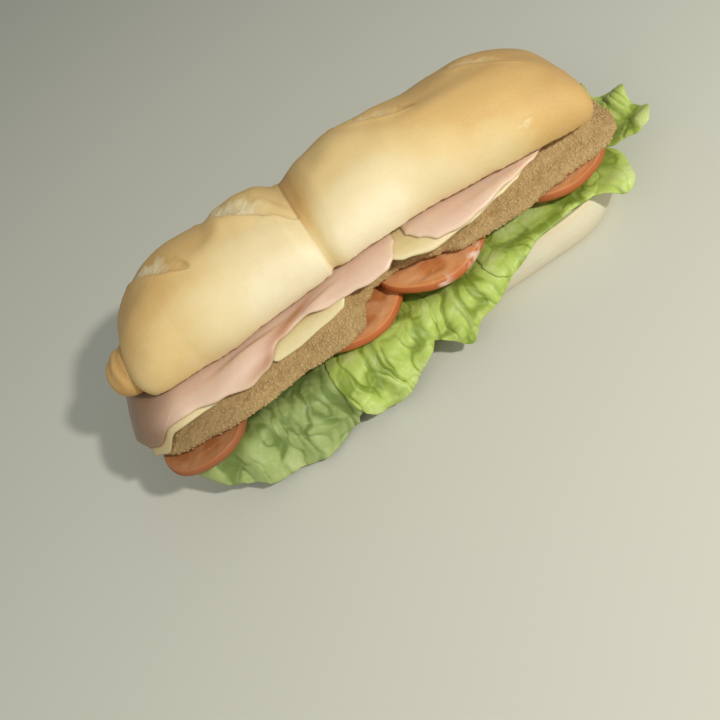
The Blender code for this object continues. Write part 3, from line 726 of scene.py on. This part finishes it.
# %% Where each leaf lies
NEAR_SLOPE, FAR_SLOPE, RISING_SLOPE = math.radians(60), math.radians(30), math.radians(-18)
LEAF_SHELF = (6, 0, 121, 40, 33)
LEAF_BEND, LEAF_THICKNESS = 7, 0.8
LEAVES = {
    "lettuce_near_left": (0.0, 0.0, NEAR_SLOPE, (-72, -2, -68, -72), DULL_LETTUCE, 0.75, (
        (-113, -24), (-109, -41), (-98, -55.6), (-82, -63.8), (-63, -66.6), (-46, -65.2), (-34, -58),
        (-27, -41), (-32, -20), (-55, -6), (-80, -5), (-103, -9),
    )),
    "lettuce_near_middle": (1.6, 2.3, NEAR_SLOPE, (-10, -4, -22, -70), BRIGHT_LETTUCE, 1.25, (
        (-36, -28), (-37, -45), (-33, -59), (-23, -65), (-11, -62.5), (1, -56), (11, -47.5), (15, -35),
        (10, -16), (-10, -7), (-30, -12),
    )),
    "lettuce_near_fold": (0.0, 0.0, NEAR_SLOPE, (28, -4, 24, -68), BRIGHT_LETTUCE, 1.1, (
        (6, -37), (8, -49), (15, -55), (22.5, -61), (30, -55.5), (40, -52), (50, -47), (58, -41),
        (55, -24), (38, -9), (14, -9), (5, -22),
    )),
    "lettuce_near_strip": (1.6, 2.1, NEAR_SLOPE, (108, -14, 40, -42), BRIGHT_LETTUCE, 1.15, (
        (44, -35), (50, -45), (60, -43.5), (70, -40), (80, -38.5), (92, -37), (102, -37), (108, -28),
        (99, -11), (74, -6), (52, -13),
    )),
    "lettuce_near_right": (0.0, 0.0, NEAR_SLOPE, (100, -4, 118, -50), BRIGHT_LETTUCE, 0.9, (
        (97, -32), (105, -38.5), (113, -42), (119, -39), (124, -31), (126, -20), (119, -9), (106, -6),
        (97, -16),
    )),
    "lettuce_end": (1.6, 2.0, RISING_SLOPE, (106, 4, 152, -8), BRIGHT_LETTUCE, 0.9, (
        (108, -1), (118, -8), (130, -18), (142, -23), (150, -15), (147, -4), (151, 6), (145, 13),
        (139, 17), (140, 28), (129, 29), (117, 15),
    )),
    "lettuce_far_left": (0.0, 0.0, FAR_SLOPE, (-60, 8, -66, 50), DULL_LETTUCE, 1.0, (
        (-104, 26), (-99, 42), (-80, 49), (-58, 47), (-38, 50), (-28, 36), (-34, 16), (-60, 9), (-92, 12),
    )),
    "lettuce_far_middle": (1.6, 3.4, FAR_SLOPE, (4, 8, 2, 50), BRIGHT_LETTUCE, 1.0, (
        (-33, 28), (-31, 42), (-17, 50), (2, 47), (20, 51), (36, 44), (39, 26), (28, 12), (2, 8), (-24, 13),
    )),
    "lettuce_far_right": (0.0, 0.0, FAR_SLOPE, (62, 8, 70, 50), DULL_LETTUCE, 1.0, (
        (32, 24), (34, 41), (50, 50), (70, 46), (88, 49), (100, 40), (103, 23), (88, 10), (52, 10),
    )),
}
print("leaves:", len(LEAVES))


# %% The shape of a leaf
VEIN_GAP = 9.5
RUFFLE_LENGTH = 21


def closed_curve(knots, count):
    knots = np.array(knots, dtype=float)
    place = np.arange(count) / count * len(knots)
    start = place.astype(int)
    t = (place - start)[:, None]
    a, b, c, d = (knots[(start + k) % len(knots)] for k in (-1, 0, 1, 2))
    return b + 0.5 * ((c - a) * t + (2 * a - 5 * b + 4 * c - d) * t**2 + (3 * b - a - 3 * c + d) * t**3)


def leaf_veins(u, v, rib):
    """How near each flat point is to the leaf's rib and to its side veins."""
    root_x, root_y, tip_x, tip_y = rib
    run_x, run_y = tip_x - root_x, tip_y - root_y
    length = math.hypot(run_x, run_y)
    along = ((u - root_x) * run_x + (v - root_y) * run_y) / length
    across = ((u - root_x) * run_y - (v - root_y) * run_x) / length
    flat = places(u, v)
    across = across + 2.0 * noise(flat, 18, 21)
    rib_width = 2.6 * (1 - 0.75 * np.clip(along / length, 0, 1))
    on_rib = bell(across, rib_width) * smooth((length * 1.02 - along) / 12)
    branch = (along - 0.75 * np.abs(across) + 2.5 * noise(flat, 11, 22)) / VEIN_GAP
    side_vein = bell(np.abs(branch - np.round(branch)) * VEIN_GAP, 0.75) * smooth(np.abs(across) / 3)
    return on_rib, side_vein * (1 - 0.3 * on_rib)


def leaf_relief(u, v):
    """Crumples and puffs of the leaf, as height over its own surface."""
    flat = places(u, v)
    bent_u = u + 4.0 * noise(flat, 15, 33) + 1.5 * noise(flat, 6, 34)
    bent_v = v + 4.0 * noise(flat, 15, 35) + 1.5 * noise(flat, 6, 36)
    fold = smooth(2.6 * np.abs(noise(places(bent_u, 0.4 * bent_v), 8.0, 31)))
    crease = smooth(2.6 * np.abs(noise(places(bent_u, 0.5 * bent_v, 9.0), 4.4, 32)))
    pucker = np.abs(noise(places(bent_u, 0.7 * bent_v, 3.0), 2.0, 37))
    return 0.9 * fold + 0.5 * crease + 0.4 * pucker + 0.8 * noise(flat, 12, 38) - 0.95


def ruffle(u, v, out_x, out_y, past):
    by_x = np.sin(2 * math.pi * u / RUFFLE_LENGTH + 1.3 * np.sin(u / 19))
    by_y = np.sin(2 * math.pi * v / RUFFLE_LENGTH + 0.8)
    return 1.9 * smooth(past / 18) * (by_x * out_y**2 + by_y * out_x**2)


def make_leaf(name):
    lift, outer_lift, slope, rib, material, crinkle, knots = LEAVES[name]
    around, rings = (180, 40) if slope == FAR_SLOPE else (300, 64)
    outline = closed_curve(knots, int(around * DETAIL))
    rim = places(outline[:, 0], outline[:, 1])
    frill = 0.022 * noise(rim, 6.0, 41) + 0.014 * noise(rim, 2.6, 42)
    flat_grid, share = fan(outline, int(rings * DETAIL), frill, 4)

    def surface(u, v):
        x, y, drop, normal, out_x, out_y, past = hang(u, v, LEAF_SHELF, LEAF_BEND, slope)
        settled = 0.9 * min(lift, 1.0) * share**10
        raised = lift + (outer_lift - lift) * smooth(past / 6) + 2.0 * bell(v + 38, 7) - settled
        relief = crinkle * leaf_relief(u, v) * (0.35 + 0.65 * smooth(past / 5))
        frilled = smooth((past - 6) / 18) * 1.1 * noise(places(u, v), 6.5, 43)
        offset = raised + ruffle(u, v, out_x, out_y, past) + relief + frilled
        point = places(x, y, lower_cut(y) + 1.3 - drop) + normal * offset[..., None]
        floor_height = 0.85 + outer_lift * 0.5
        spare = point[..., 2] - floor_height
        point[..., 2] = floor_height + 0.5 * (spare + np.sqrt(spare**2 + 1.5**2))
        return point

    def marks_of(u, v):
        on_rib, vein = leaf_veins(u, v, rib)
        past = past_shelf(u, v, LEAF_SHELF)[4]
        # Painted shade and light that follow the leaf's relief, with random tone, and lighter where the leaf
        # hangs past the shelf.
        fresh = 0.3 + 0.75 * leaf_relief(u, v) + 0.25 * noise(places(u, v), 17, 51)
        return {"fresh": fresh + 0.2 * smooth((past - 8) / 16), "vein": vein, "rib": on_rib}

    sheet_piece(name + "_leaf", flat_grid, surface, LEAF_THICKNESS, material, marks_of, name)


for leaf_name in LEAVES:
    make_leaf(leaf_name)

# %% [markdown]
# ## Tomato
#
# A slice across a tomato shows a wall of firm flesh under the skin, and spokes of flesh between
# chambers of soft jelly with seeds. The chambers sink a little, and the skin stands as a duller,
# redder rim. Marks say where all of these are, how far a slice lies in the shade, and where painted
# highlights sit on a rim.

# %% Tomato material
def make_tomato():
    glow = {"Subsurface_Weight": 0.15, "Subsurface_Scale": 0.003}
    food = Food("Tomato", (216, 141, 80), 0.24, Specular_IOR_Level=0.35, **glow)
    food.towards((223, 165, 114), food.ranged(food.mark("flesh"), 0.3, 1.0))
    food.towards_mark((186, 112, 54), "jelly", 0.6)
    food.towards_mark((214, 172, 110), "seed", 0.5)
    food.towards_blotch((212, 146, 102), 90, 500, 0.45, 0.4)
    food.towards_mark((170, 82, 26), "skin", 0.8)
    food.towards_mark((140, 90, 54), "shaded", 0.7)
    # Painted highlight: pale patches on the rim of the overlapping slice.
    food.towards_mark((226, 198, 178), "painted_glint", 0.85)
    food.rough_by(food.mark("skin"), 0.24, 0.62)
    return food.grained(420, 0.0003, 0.4)


TOMATO = make_tomato()
print("tomato:", TOMATO.name)

# %% [markdown]
# The table gives each slice its middle, its radius, its lift, how much it falls to the right, the
# turn of its spokes, and how far it lies in the shade. Painted highlight spots are a place along the
# rim and a width.

# %% Tomato slices
TOMATO_THICKNESS = 4.6
TOMATOES = {
    "tomato_left": (-96.5, -29, 21.5, 0.5, 0.0, 0.5, 1.0),
    "tomato_middle": (-15, -12, 27.5, 0.0, 0.06, 1.9, 0.0),
    "tomato_overlap": (30, -12, 27.5, 2.4, 0.075, 3.0, 0.0),
    "tomato_right": (97.5, -6, 27.0, 0.7, 0.0, 4.4, 0.3),
}
PAINTED_GLINT_SPOTS = ((26, 3.0), (43.5, 4.5))


def make_tomato_slice(name):
    middle_x, middle_y, radius, lift, fall, phase, shaded = TOMATOES[name]
    around = int(240 * DETAIL)
    angle = np.arange(around) / around * 2 * math.pi
    rim = np.linspace(-math.pi / 2, math.pi / 2, 25)
    inner = np.linspace(0, 0.93, int(60 * DETAIL))
    share = np.concatenate([inner, 0.93 + 0.07 * np.cos(rim), inner[::-1]])[:, None]
    height = np.concatenate([0 * inner, 0.5 + 0.5 * np.sin(rim), 0 * inner + 1])[:, None]
    reach = radius * (1 + 0.014 * np.sin(5 * angle + phase) + 0.012 * np.sin(2 * angle + 2 * phase))
    reach = reach - 0.35 + 0.3 * noise(places(10 * np.cos(angle), 10 * np.sin(angle), middle_x), 4.0, 67)
    dx, dy = np.cos(angle) * share * reach, np.sin(angle) * share * reach
    flat = places(dx + middle_x, dy + middle_y, height * 5)
    spokes = np.cos(5 * angle + phase + 0.9 * noise(flat, 8, 61))
    ring = bell(share - 0.56, 0.24)
    jelly = smooth(0.5 + 0.6 * spokes + 0.4 * noise(flat, 6, 64)) * smooth(ring * 1.5 - 0.3)
    seed = jelly * smooth(noise(flat, 2.1, 62) * 5 - 2.4)
    flesh = 1 - jelly * 0.8 - 0.5 * smooth((share - 0.8) / 0.14) + 0.3 * noise(flat, 7, 65)
    skin = smooth((share - 0.955) / 0.02) * (1 - bell(height - 1, 0.02) * 0.4) + 0 * dx
    top = np.where(height > 0.5, 1.0, -1.0)
    rough = 0.28 * noise(flat, 4.2, 63) + 0.12 * noise(flat, 1.8, 66)
    relief = top * (-0.3 * jelly + 0.25 * seed + rough) * smooth((1 - share) / 0.1)
    x, y = middle_x + dx, middle_y + dy
    z = TOMATO_BASE + lift - STACK_TILT * y - fall * dx + height * TOMATO_THICKNESS + relief
    # Painted highlight patches near the near rim of the overlapping slice.
    glint_patches = np.maximum(*(bell(x - spot, width) for spot, width in PAINTED_GLINT_SPOTS))
    glint_patches = glint_patches * smooth(2.5 * noise(flat, 2.4, 68) + 0.6)
    painted_glint = glint_patches * smooth((share - 0.84) / 0.08) * (dy < 0) * (name == "tomato_overlap")
    marks = {"flesh": flesh, "jelly": jelly, "seed": seed, "skin": skin, "shaded": shaded, "painted_glint": painted_glint}
    shell_piece(name + "_slice", places(x, y, z), TOMATO, marks, name)


for tomato_name in TOMATOES:
    make_tomato_slice(tomato_name)

# %% [markdown]
# ## The breaded cutlet
#
# Crumbs cling to the meat in clumps, fried brown, and lighter where they stand proud. The slab itself
# is rough at three sizes, and then real crumbs are scattered over it, because only those give the
# broken edge against the light.

# %% Breading materials
def make_breading(name, base, deep, light):
    food = Food(name, base, 0.72, Subsurface_Weight=0.05, Subsurface_Scale=0.001)
    food.towards_blotch((126, 92, 48), 85, 600, 0.35, 0.42)
    food.towards_blotch(deep, 260, 1300, 0.5, 0.6)
    food.towards_blotch(light, 600, 2400, 0.6, 0.5)
    food.towards_mark((196, 164, 108), "proud", 0.45)
    # Painted shade toward the left end of the cutlet.
    food.towards_mark((108, 84, 50), "end", 0.4)
    return food.grained(2200, 0.0004, 0.7)


BREADING = make_breading("Breading", (182, 147, 92), (104, 78, 42), (208, 178, 122))
CRUMBS = make_breading("Loose crumbs", (198, 164, 108), (118, 88, 48), (230, 204, 150))
print("breading:", BREADING.name)

# %% The cutlet as rings
CUTLET_ENDS = (-99, 105)
CUTLET_THICKNESS = 12.0
RIM_RADIUS = 1.3
DRAPE_RADIUS, DRAPE_SLOPE = 8, math.radians(49)
CUTLET_NEAR_EDGE = (
    (-112, 36), (-97, 39), (-80, 41.5), (-65, 41.5), (-44, 39.5), (-22, 41.5), (-13, 39), (-6, 26),
    (0, 21.5), (12, 20.5), (22, 22.5), (32, 26), (42, 31), (57, 31.5), (72, 31.5), (88, 28.5), (102, 27),
    (114, 28.5), (124, 29.5),
)


def edge_drop(past, radius, slope):
    bend = radius * math.sin(slope)
    curved = radius - np.sqrt(np.maximum(radius**2 - np.clip(past, 0, bend) ** 2, 0))
    return curved + np.maximum(past - bend, 0) * math.tan(slope)


def cutlet_height(inset):
    """The slab's top bends down towards its rim, and runs out there in a low round shoulder."""
    bent = edge_drop(16 - inset, DRAPE_RADIUS, DRAPE_SLOPE)
    shoulder = 6.2 + 2.8 * np.maximum(0, 1 - inset / 7) ** 2
    return CUTLET_THICKNESS + np.log(np.exp(-0.8 * bent) + np.exp(-0.8 * shoulder)) / 0.8


def make_cutlet():
    spine, angle = stops_round(*CUTLET_ENDS, int(420 * DETAIL), int(120 * DETAIL))
    far = 37 + 1.2 * np.sin(spine / 15)
    side = np.where(np.sin(angle) < 0, table_value(CUTLET_NEAR_EDGE, spine), far)
    right = np.cos(angle) > 0
    reach = blunt_reach(side, np.where(right, 27, 26), angle, np.where(right, 2.8, 2.1))
    under = np.linspace(1.0, 0.04, 14)[:, None] * reach
    rim_turn = np.linspace(-math.pi / 2, 0, 9)[1:, None]
    rim = RIM_RADIUS * (1 - np.cos(rim_turn)) + 0 * reach
    rim_height = RIM_RADIUS * (1 + np.sin(rim_turn)) + 0 * reach
    upper = np.concatenate([np.linspace(0.05, 16, int(54 * DETAIL)), np.linspace(17, 24, 5)])[:, None]
    upper = upper + 0 * reach
    middle = np.linspace(24.5 / 27, 1.0, 6)[:, None] * reach
    inset = np.concatenate([under, rim, np.minimum(upper, reach * 0.88), np.maximum(middle, reach * 0.9)])
    inset[-1] = reach
    height = np.concatenate([0 * under, rim_height, cutlet_height(upper), CUTLET_THICKNESS + 0 * middle])
    x = spine + np.cos(angle) * (reach - inset)
    y = np.sin(angle) * (reach - inset)
    flat = places(x, y, height)
    clumps = 0.40 * noise(flat, 3.2, 71) + 0.32 * noise(flat, 1.5, 72) + 0.16 * noise(flat, 0.8, 73)
    outward = bell(inset, 3.0)
    z = leaning(CUTLET_BASE, x, y) + height + clumps * (1 - 0.6 * outward) * smooth(height * 2)
    x = x + np.cos(angle) * outward * clumps * 0.9
    y = y + np.sin(angle) * outward * clumps * 0.9
    # The end mark is painted shade toward the left end.
    marks = {"proud": smooth(clumps * 2), "end": smooth((-56 - x) / 44)}
    return shell_piece("breaded_cutlet", places(x, y, z), BREADING, marks, "cutlet")


cutlet = make_cutlet()

# %% [markdown]
# The crumbs repeat a small shape over a surface, so Geometry Nodes make them: points are spread over
# the cutlet with a fixed seed, a low lump is set on each at its own size and turn, and the result
# becomes one plain mesh.


# %% A scatter of crumbs with Geometry Nodes
def make_crumb_shape():
    bm = bmesh.new()
    bmesh.ops.create_icosphere(bm, subdivisions=1, radius=1.0)
    for vert in bm.verts:
        lump = noise(np.array([vert.co[:]]) + 4.0, 0.9, 81)[0]
        vert.co = Vector((vert.co.x * 1.15, vert.co.y * 0.9, vert.co.z * 0.7)) * (1 + 0.35 * lump)
    mesh = bpy.data.meshes.new("crumb_shape")
    bm.to_mesh(mesh)
    bm.free()
    return add_object("crumb_shape", mesh)


def make_crumb_tree():
    tree = bpy.data.node_groups.new("Scatter of crumbs", "GeometryNodeTree")
    sockets = (
        ("Geometry", "Geometry", None), ("Crumbs Per Square Metre", "Float", 1.0e6),
        ("Smallest", "Float", 0.0003), ("Largest", "Float", 0.0007), ("Seed", "Int", 5),
        ("Crumb", "Object", None), ("Finish", "Material", None),
    )
    for name, kind, value in sockets:
        socket = tree.interface.new_socket(name, in_out="INPUT", socket_type="NodeSocket" + kind)
        if value is not None:
            socket.default_value = value
    tree.interface.new_socket("Geometry", in_out="OUTPUT", socket_type="NodeSocketGeometry")
    inside = tree.nodes.new("NodeGroupInput")
    spread = tree.nodes.new("GeometryNodeDistributePointsOnFaces")
    place = tree.nodes.new("GeometryNodeInstanceOnPoints")
    shape = tree.nodes.new("GeometryNodeObjectInfo")
    size = add_node(tree, "FunctionNodeRandomValue", data_type="FLOAT")
    spin = add_node(tree, "FunctionNodeRandomValue", data_type="FLOAT")
    spin.inputs[3].default_value = 2 * math.pi
    turn = add_node(tree, "FunctionNodeAxisAngleToRotation")
    whole = add_node(tree, "FunctionNodeRotateRotation", rotation_space="LOCAL")
    real = tree.nodes.new("GeometryNodeRealizeInstances")
    finish = tree.nodes.new("GeometryNodeSetMaterial")
    outside = tree.nodes.new("NodeGroupOutput")
    join(
        tree,
        (inside, "Geometry", spread, "Mesh"), (inside, "Crumbs Per Square Metre", spread, "Density"),
        (inside, "Seed", spread, "Seed"), (inside, "Crumb", shape, "Object"),
        (inside, "Smallest", size, 2), (inside, "Largest", size, 3), (spin, 1, turn, "Angle"),
        (spread, "Rotation", whole, "Rotation"), (turn, "Rotation", whole, "Rotate By"),
        (spread, "Points", place, "Points"), (shape, "Geometry", place, "Instance"),
        (whole, "Rotation", place, "Rotation"), (size, 1, place, "Scale"),
        (place, "Instances", real, "Geometry"), (real, "Geometry", finish, "Geometry"),
        (inside, "Finish", finish, "Material"), (finish, "Geometry", outside, "Geometry"),
    )
    return tree


CRUMB_TREE = make_crumb_tree()
print("crumb tree sockets:", [item.name for item in CRUMB_TREE.interface.items_tree])


# %% Spread the crumbs over the cutlet's visible skin
def scatter_crumbs(name, carrier, keep, **inputs):
    """Covers the faces of a piece that `keep` allows with crumbs, as one plain mesh."""
    base = bmesh.new()
    base.from_mesh(carrier.data)
    bmesh.ops.delete(base, geom=[face for face in base.faces if not keep(face)], context="FACES")
    patch_mesh = bpy.data.meshes.new(name + "_patch")
    base.to_mesh(patch_mesh)
    base.free()
    patch = add_object(name + "_patch", patch_mesh)
    shape = make_crumb_shape()
    modifier = patch.modifiers.new("crumbs", "NODES")
    modifier.node_group = CRUMB_TREE
    values = {key.replace("_", " "): value for key, value in inputs.items()}
    values.update({"Crumb": shape, "Finish": CRUMBS})
    for item in CRUMB_TREE.interface.items_tree:
        if item.item_type == "SOCKET" and item.in_out == "INPUT" and item.name in values:
            modifier[item.identifier] = values[item.name]
    graph = bpy.context.evaluated_depsgraph_get()
    mesh = bpy.data.meshes.new_from_object(patch.evaluated_get(graph))
    bpy.data.objects.remove(patch)
    bpy.data.objects.remove(shape)
    crumbs = add_object(name, mesh)
    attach(crumbs, "root")
    print(name, len(mesh.polygons), "faces")


def on_shown_rim(face):
    """The near side, both ends and the far side of the cutlet, where crumbs show."""
    middle = face.calc_center_median()
    near_rim = middle.y < -0.016 or middle.y > 0.024 or abs(middle.x - 0.0075) > 0.098
    return near_rim and middle.z < 0.0505 and face.normal.z > -0.6


scatter_crumbs(
    "loose_crumbs", cutlet, on_shown_rim,
    Crumbs_Per_Square_Metre=0.6e6 * DETAIL, Smallest=0.0003, Largest=0.0008, Seed=5,
)

# %% [markdown]
# ## Cheese and ham
#
# Both come in thin slices. Cheese is firm, so it bends over the cutlet in one plain curve and its
# corners hang. Ham is limp and damp: it waves along its free edge and has a faint sheen.


# %% Materials for cheese and ham
SLICE_GLOW = {"Subsurface_Weight": 0.2, "Subsurface_Scale": 0.003}


def make_cheese():
    food = Food("Cheese", (217, 201, 151), 0.45, **SLICE_GLOW)
    food.towards_blotch((202, 178, 120), 90, 500, 0.4, 0.45)
    food.towards_mark((232, 219, 176), "rim", 0.6)
    # Painted shade toward the left end of the cheese.
    food.towards_mark((160, 142, 98), "end", 0.75)
    return food.grained(600, 0.0001, 0.25)


def make_ham():
    food = Food("Cooked ham", (219, 188, 165), 0.4, **SLICE_GLOW)
    food.towards_blotch((209, 168, 142), 70, 420, 0.4, 0.5)
    food.towards_blotch((232, 206, 184), 240, 1400, 0.5, 0.3)
    # Painted shade in the dip of the ham's fold.
    food.towards_mark((166, 110, 70), "dip", 0.95)
    # Painted highlight along the ham's rim.
    food.towards_mark((230, 204, 172), "rim", 0.5)
    # Painted shade toward the left end of the ham.
    food.towards_mark((134, 106, 82), "end", 0.95)
    return food.grained(1100, 0.00015, 0.35)


CHEESE = make_cheese()
HAM = make_ham()
print("slices:", CHEESE.name, HAM.name)

# %% [markdown]
# Each slice has its left end, its right end and its far edge, and then a table of its near edge along
# the open side. Both kinds bend like the cutlet's shoulder, and the ham lies over the cheese.

# %% Where each slice lies
SLICE_SHELF = (5.5, 11, 116.5, 36, 9)
CHEESES = {
    "cheese_left": (-120, -57, 44, ((-120, 35), (-113, 39), (-104, 34), (-65, 33), (-57, 30))),
    "cheese_middle": (-56, -11, 43, ((-56, 29), (-50, 34), (-40, 34), (-25, 33), (-16, 32), (-11, 27))),
    "cheese_right": (9, 80, 42, ((9, 25), (18, 30), (30, 33), (48, 31), (66, 27.5), (76, 25), (80, 22))),
}
HAMS = {
    "ham_left": (-123, 18, 45, (
        (-123, 22), (-118, 31.5), (-112, 34.5), (-104, 31), (-92, 31), (-78, 33), (-66, 36), (-57, 34),
        (-45, 27.5), (-34, 26), (-20, 28.5), (-9.6, 29.3), (0, 31), (8, 30.5), (13, 28), (18, 20),
    )),
    "ham_right": (24, 94, 43, (
        (24, 20), (28, 26), (34, 30), (44, 31), (56, 29.5), (72, 26), (86, 22), (94, 18),
    )),
}
print("slices:", *CHEESES, *HAMS)


# %% The shape of a slice
def slanted(x, y):
    """The place along the open side, on lines that run out at a slant."""
    return x - 2.1 * (y + 34)


def ham_swell(x, y):
    """The waves of the ham along the open side, with a deep dip between the first two."""
    slant = slanted(x, y)
    return bell(slant + 78, 14) + 0.65 * bell(slant + 43, 8) + 0.3 * bell(slant - 46, 14)


def left_bulge(x, y):
    """How far the slices at the left end push out under the knob."""
    return 4.0 * smooth((-98 - x) / 24) * smooth((y + 32) / 26) * smooth((30 - y) / 20)


def slice_outline(left, right, far, near_edge, count):
    """Evenly spaced points round a slice, from its near left corner along the open side."""
    x = np.linspace(left, right, 160)
    corner = 4 * np.abs(2 * (x - left) / (right - left) - 1) ** 7
    near_line = np.stack([x, -table_value(near_edge, x)], axis=-1)
    far_line = np.stack([x, far - corner], axis=-1)[::-1]
    rise = np.linspace(0, 1, 80)[1:-1, None]
    right_line = near_line[-1] + (far_line[0] - near_line[-1]) * rise
    left_line = far_line[-1] + (near_line[0] - far_line[-1]) * rise
    path = np.concatenate([near_line, right_line, far_line, left_line])
    path = np.concatenate([path, path[:1]])
    length = np.concatenate([[0], np.cumsum(np.hypot(*np.diff(path, axis=0).T))])
    at = np.arange(count) / count * length[-1]
    return np.stack([np.interp(at, length, path[:, 0]), np.interp(at, length, path[:, 1])], axis=-1)


def make_slice(name, plan, lift, wave, thickness, material):
    outline = slice_outline(*plan, int(320 * DETAIL))
    worn = 0.006 * noise(places(outline[:, 0], outline[:, 1]), 5.0, 91)
    flat_grid, share = fan(outline, int(56 * DETAIL), worn, 8)

    def surface(u, v):
        u = u - left_bulge(u, v)
        x, y, drop, normal = hang(u, v, SLICE_SHELF, DRAPE_RADIUS, DRAPE_SLOPE)[:4]
        limp = 0.12 * noise(places(u, v), 7.0, 92) * (wave > 0)
        swell = wave * ham_swell(u, v) * smooth((-v - 20) / 7)
        offset = lift + swell + limp - 0.35 * lift * share**12
        return places(x, y, leaning(SLICE_BASE, x, y) - drop) + normal * offset[..., None]

    def marks_of(u, v):
        flat = places(u, v)
        # Painted shade in the dip of the ham's fold.
        dip = bell(slanted(u, v) + 59 + 2 * noise(flat, 8, 93), 6.5)
        dip = dip * smooth((-v - 16) / 7) * (1 - smooth((-v - 31) / 6))
        # The end mark is painted shade toward the left end.
        end = smooth((-92 - u + 3 * noise(flat, 9, 94)) / 18)
        return {"rim": share**24 * np.ones_like(u), "dip": dip, "end": end}

    sheet_piece(name + "_slice", flat_grid, surface, thickness, material, marks_of, name)


for cheese_name, cheese_plan in CHEESES.items():
    make_slice(cheese_name, cheese_plan, lift=0.0, wave=0.0, thickness=1.7, material=CHEESE)
for ham_name, ham_plan in HAMS.items():
    make_slice(ham_name, ham_plan, lift=2.5, wave=3.2, thickness=1.4, material=HAM)

# %% [markdown]
# ## Floor, light and camera
#
# The sandwich lies on a plain pale floor. A small lamp stands to the right, near and high, so the
# shadow falls to the back left and has a clear edge, and a broad soft lamp on the left fills the open
# side. The camera looks down at 46 degrees and is rolled, so the roll runs up to the right in the
# frame.


# %% Floor
def make_floor(size):
    mesh = bpy.data.meshes.new("floor")
    corners = [(-size, -size, 0), (size, -size, 0), (size, size, 0), (-size, size, 0)]
    mesh.from_pydata(corners, [], [(0, 1, 2, 3)])
    material = bpy.data.materials.new("Pale floor")
    material.use_nodes = True
    shader = material.node_tree.nodes["Principled BSDF"]
    shader.inputs["Base Color"].default_value = linear(205, 205, 191)
    shader.inputs["Roughness"].default_value = 0.7
    mesh.materials.append(material)
    add_object("floor", mesh)
    print("floor:", 2 * size, "m wide")


make_floor(3.0)


# %% Lights
def aim(place, target, roll=0.0):
    turn = (Vector(target) - Vector(place)).to_track_quat("-Z", "Y").to_matrix().to_4x4()
    return Matrix.Translation(place) @ turn @ Matrix.Rotation(roll, 4, "Z")


def add_lamp(name, place, size, watts, colour):
    lamp = bpy.data.lights.new(name, "AREA")
    lamp.size = size
    lamp.energy = watts
    lamp.color = colour
    add_object(name, lamp).matrix_world = aim(place, (0, 0, 0.03))
    print("lamp", name, watts, "W")


add_lamp("key", (0.42, -0.55, 0.60), size=0.05, watts=5.6, colour=(1.0, 0.97, 0.92))
add_lamp("fill", (-0.5, -0.7, 0.8), size=0.9, watts=3.0, colour=(1.0, 0.98, 0.93))
world = bpy.data.worlds.new("Soft room")
world.use_nodes = True
background = world.node_tree.nodes["Background"]
background.inputs["Color"].default_value = (0.92, 0.95, 0.93, 1)
background.inputs["Strength"].default_value = 0.31
bpy.context.scene.world = world
bpy.context.scene.view_settings.view_transform = "Standard"

# %% Camera
camera_data = bpy.data.cameras.new("camera")
camera_data.sensor_width = 36
camera_data.lens = 40.9
camera_data.shift_x = -0.0429
camera_data.shift_y = -0.0667
camera_data.clip_start = 0.01
camera = add_object("camera", camera_data)
camera.matrix_world = aim((0, -0.279, 0.2868), (0, -0.036, 0.035), math.radians(-34))
bpy.context.scene.camera = camera
print("lens:", camera_data.lens, "mm")
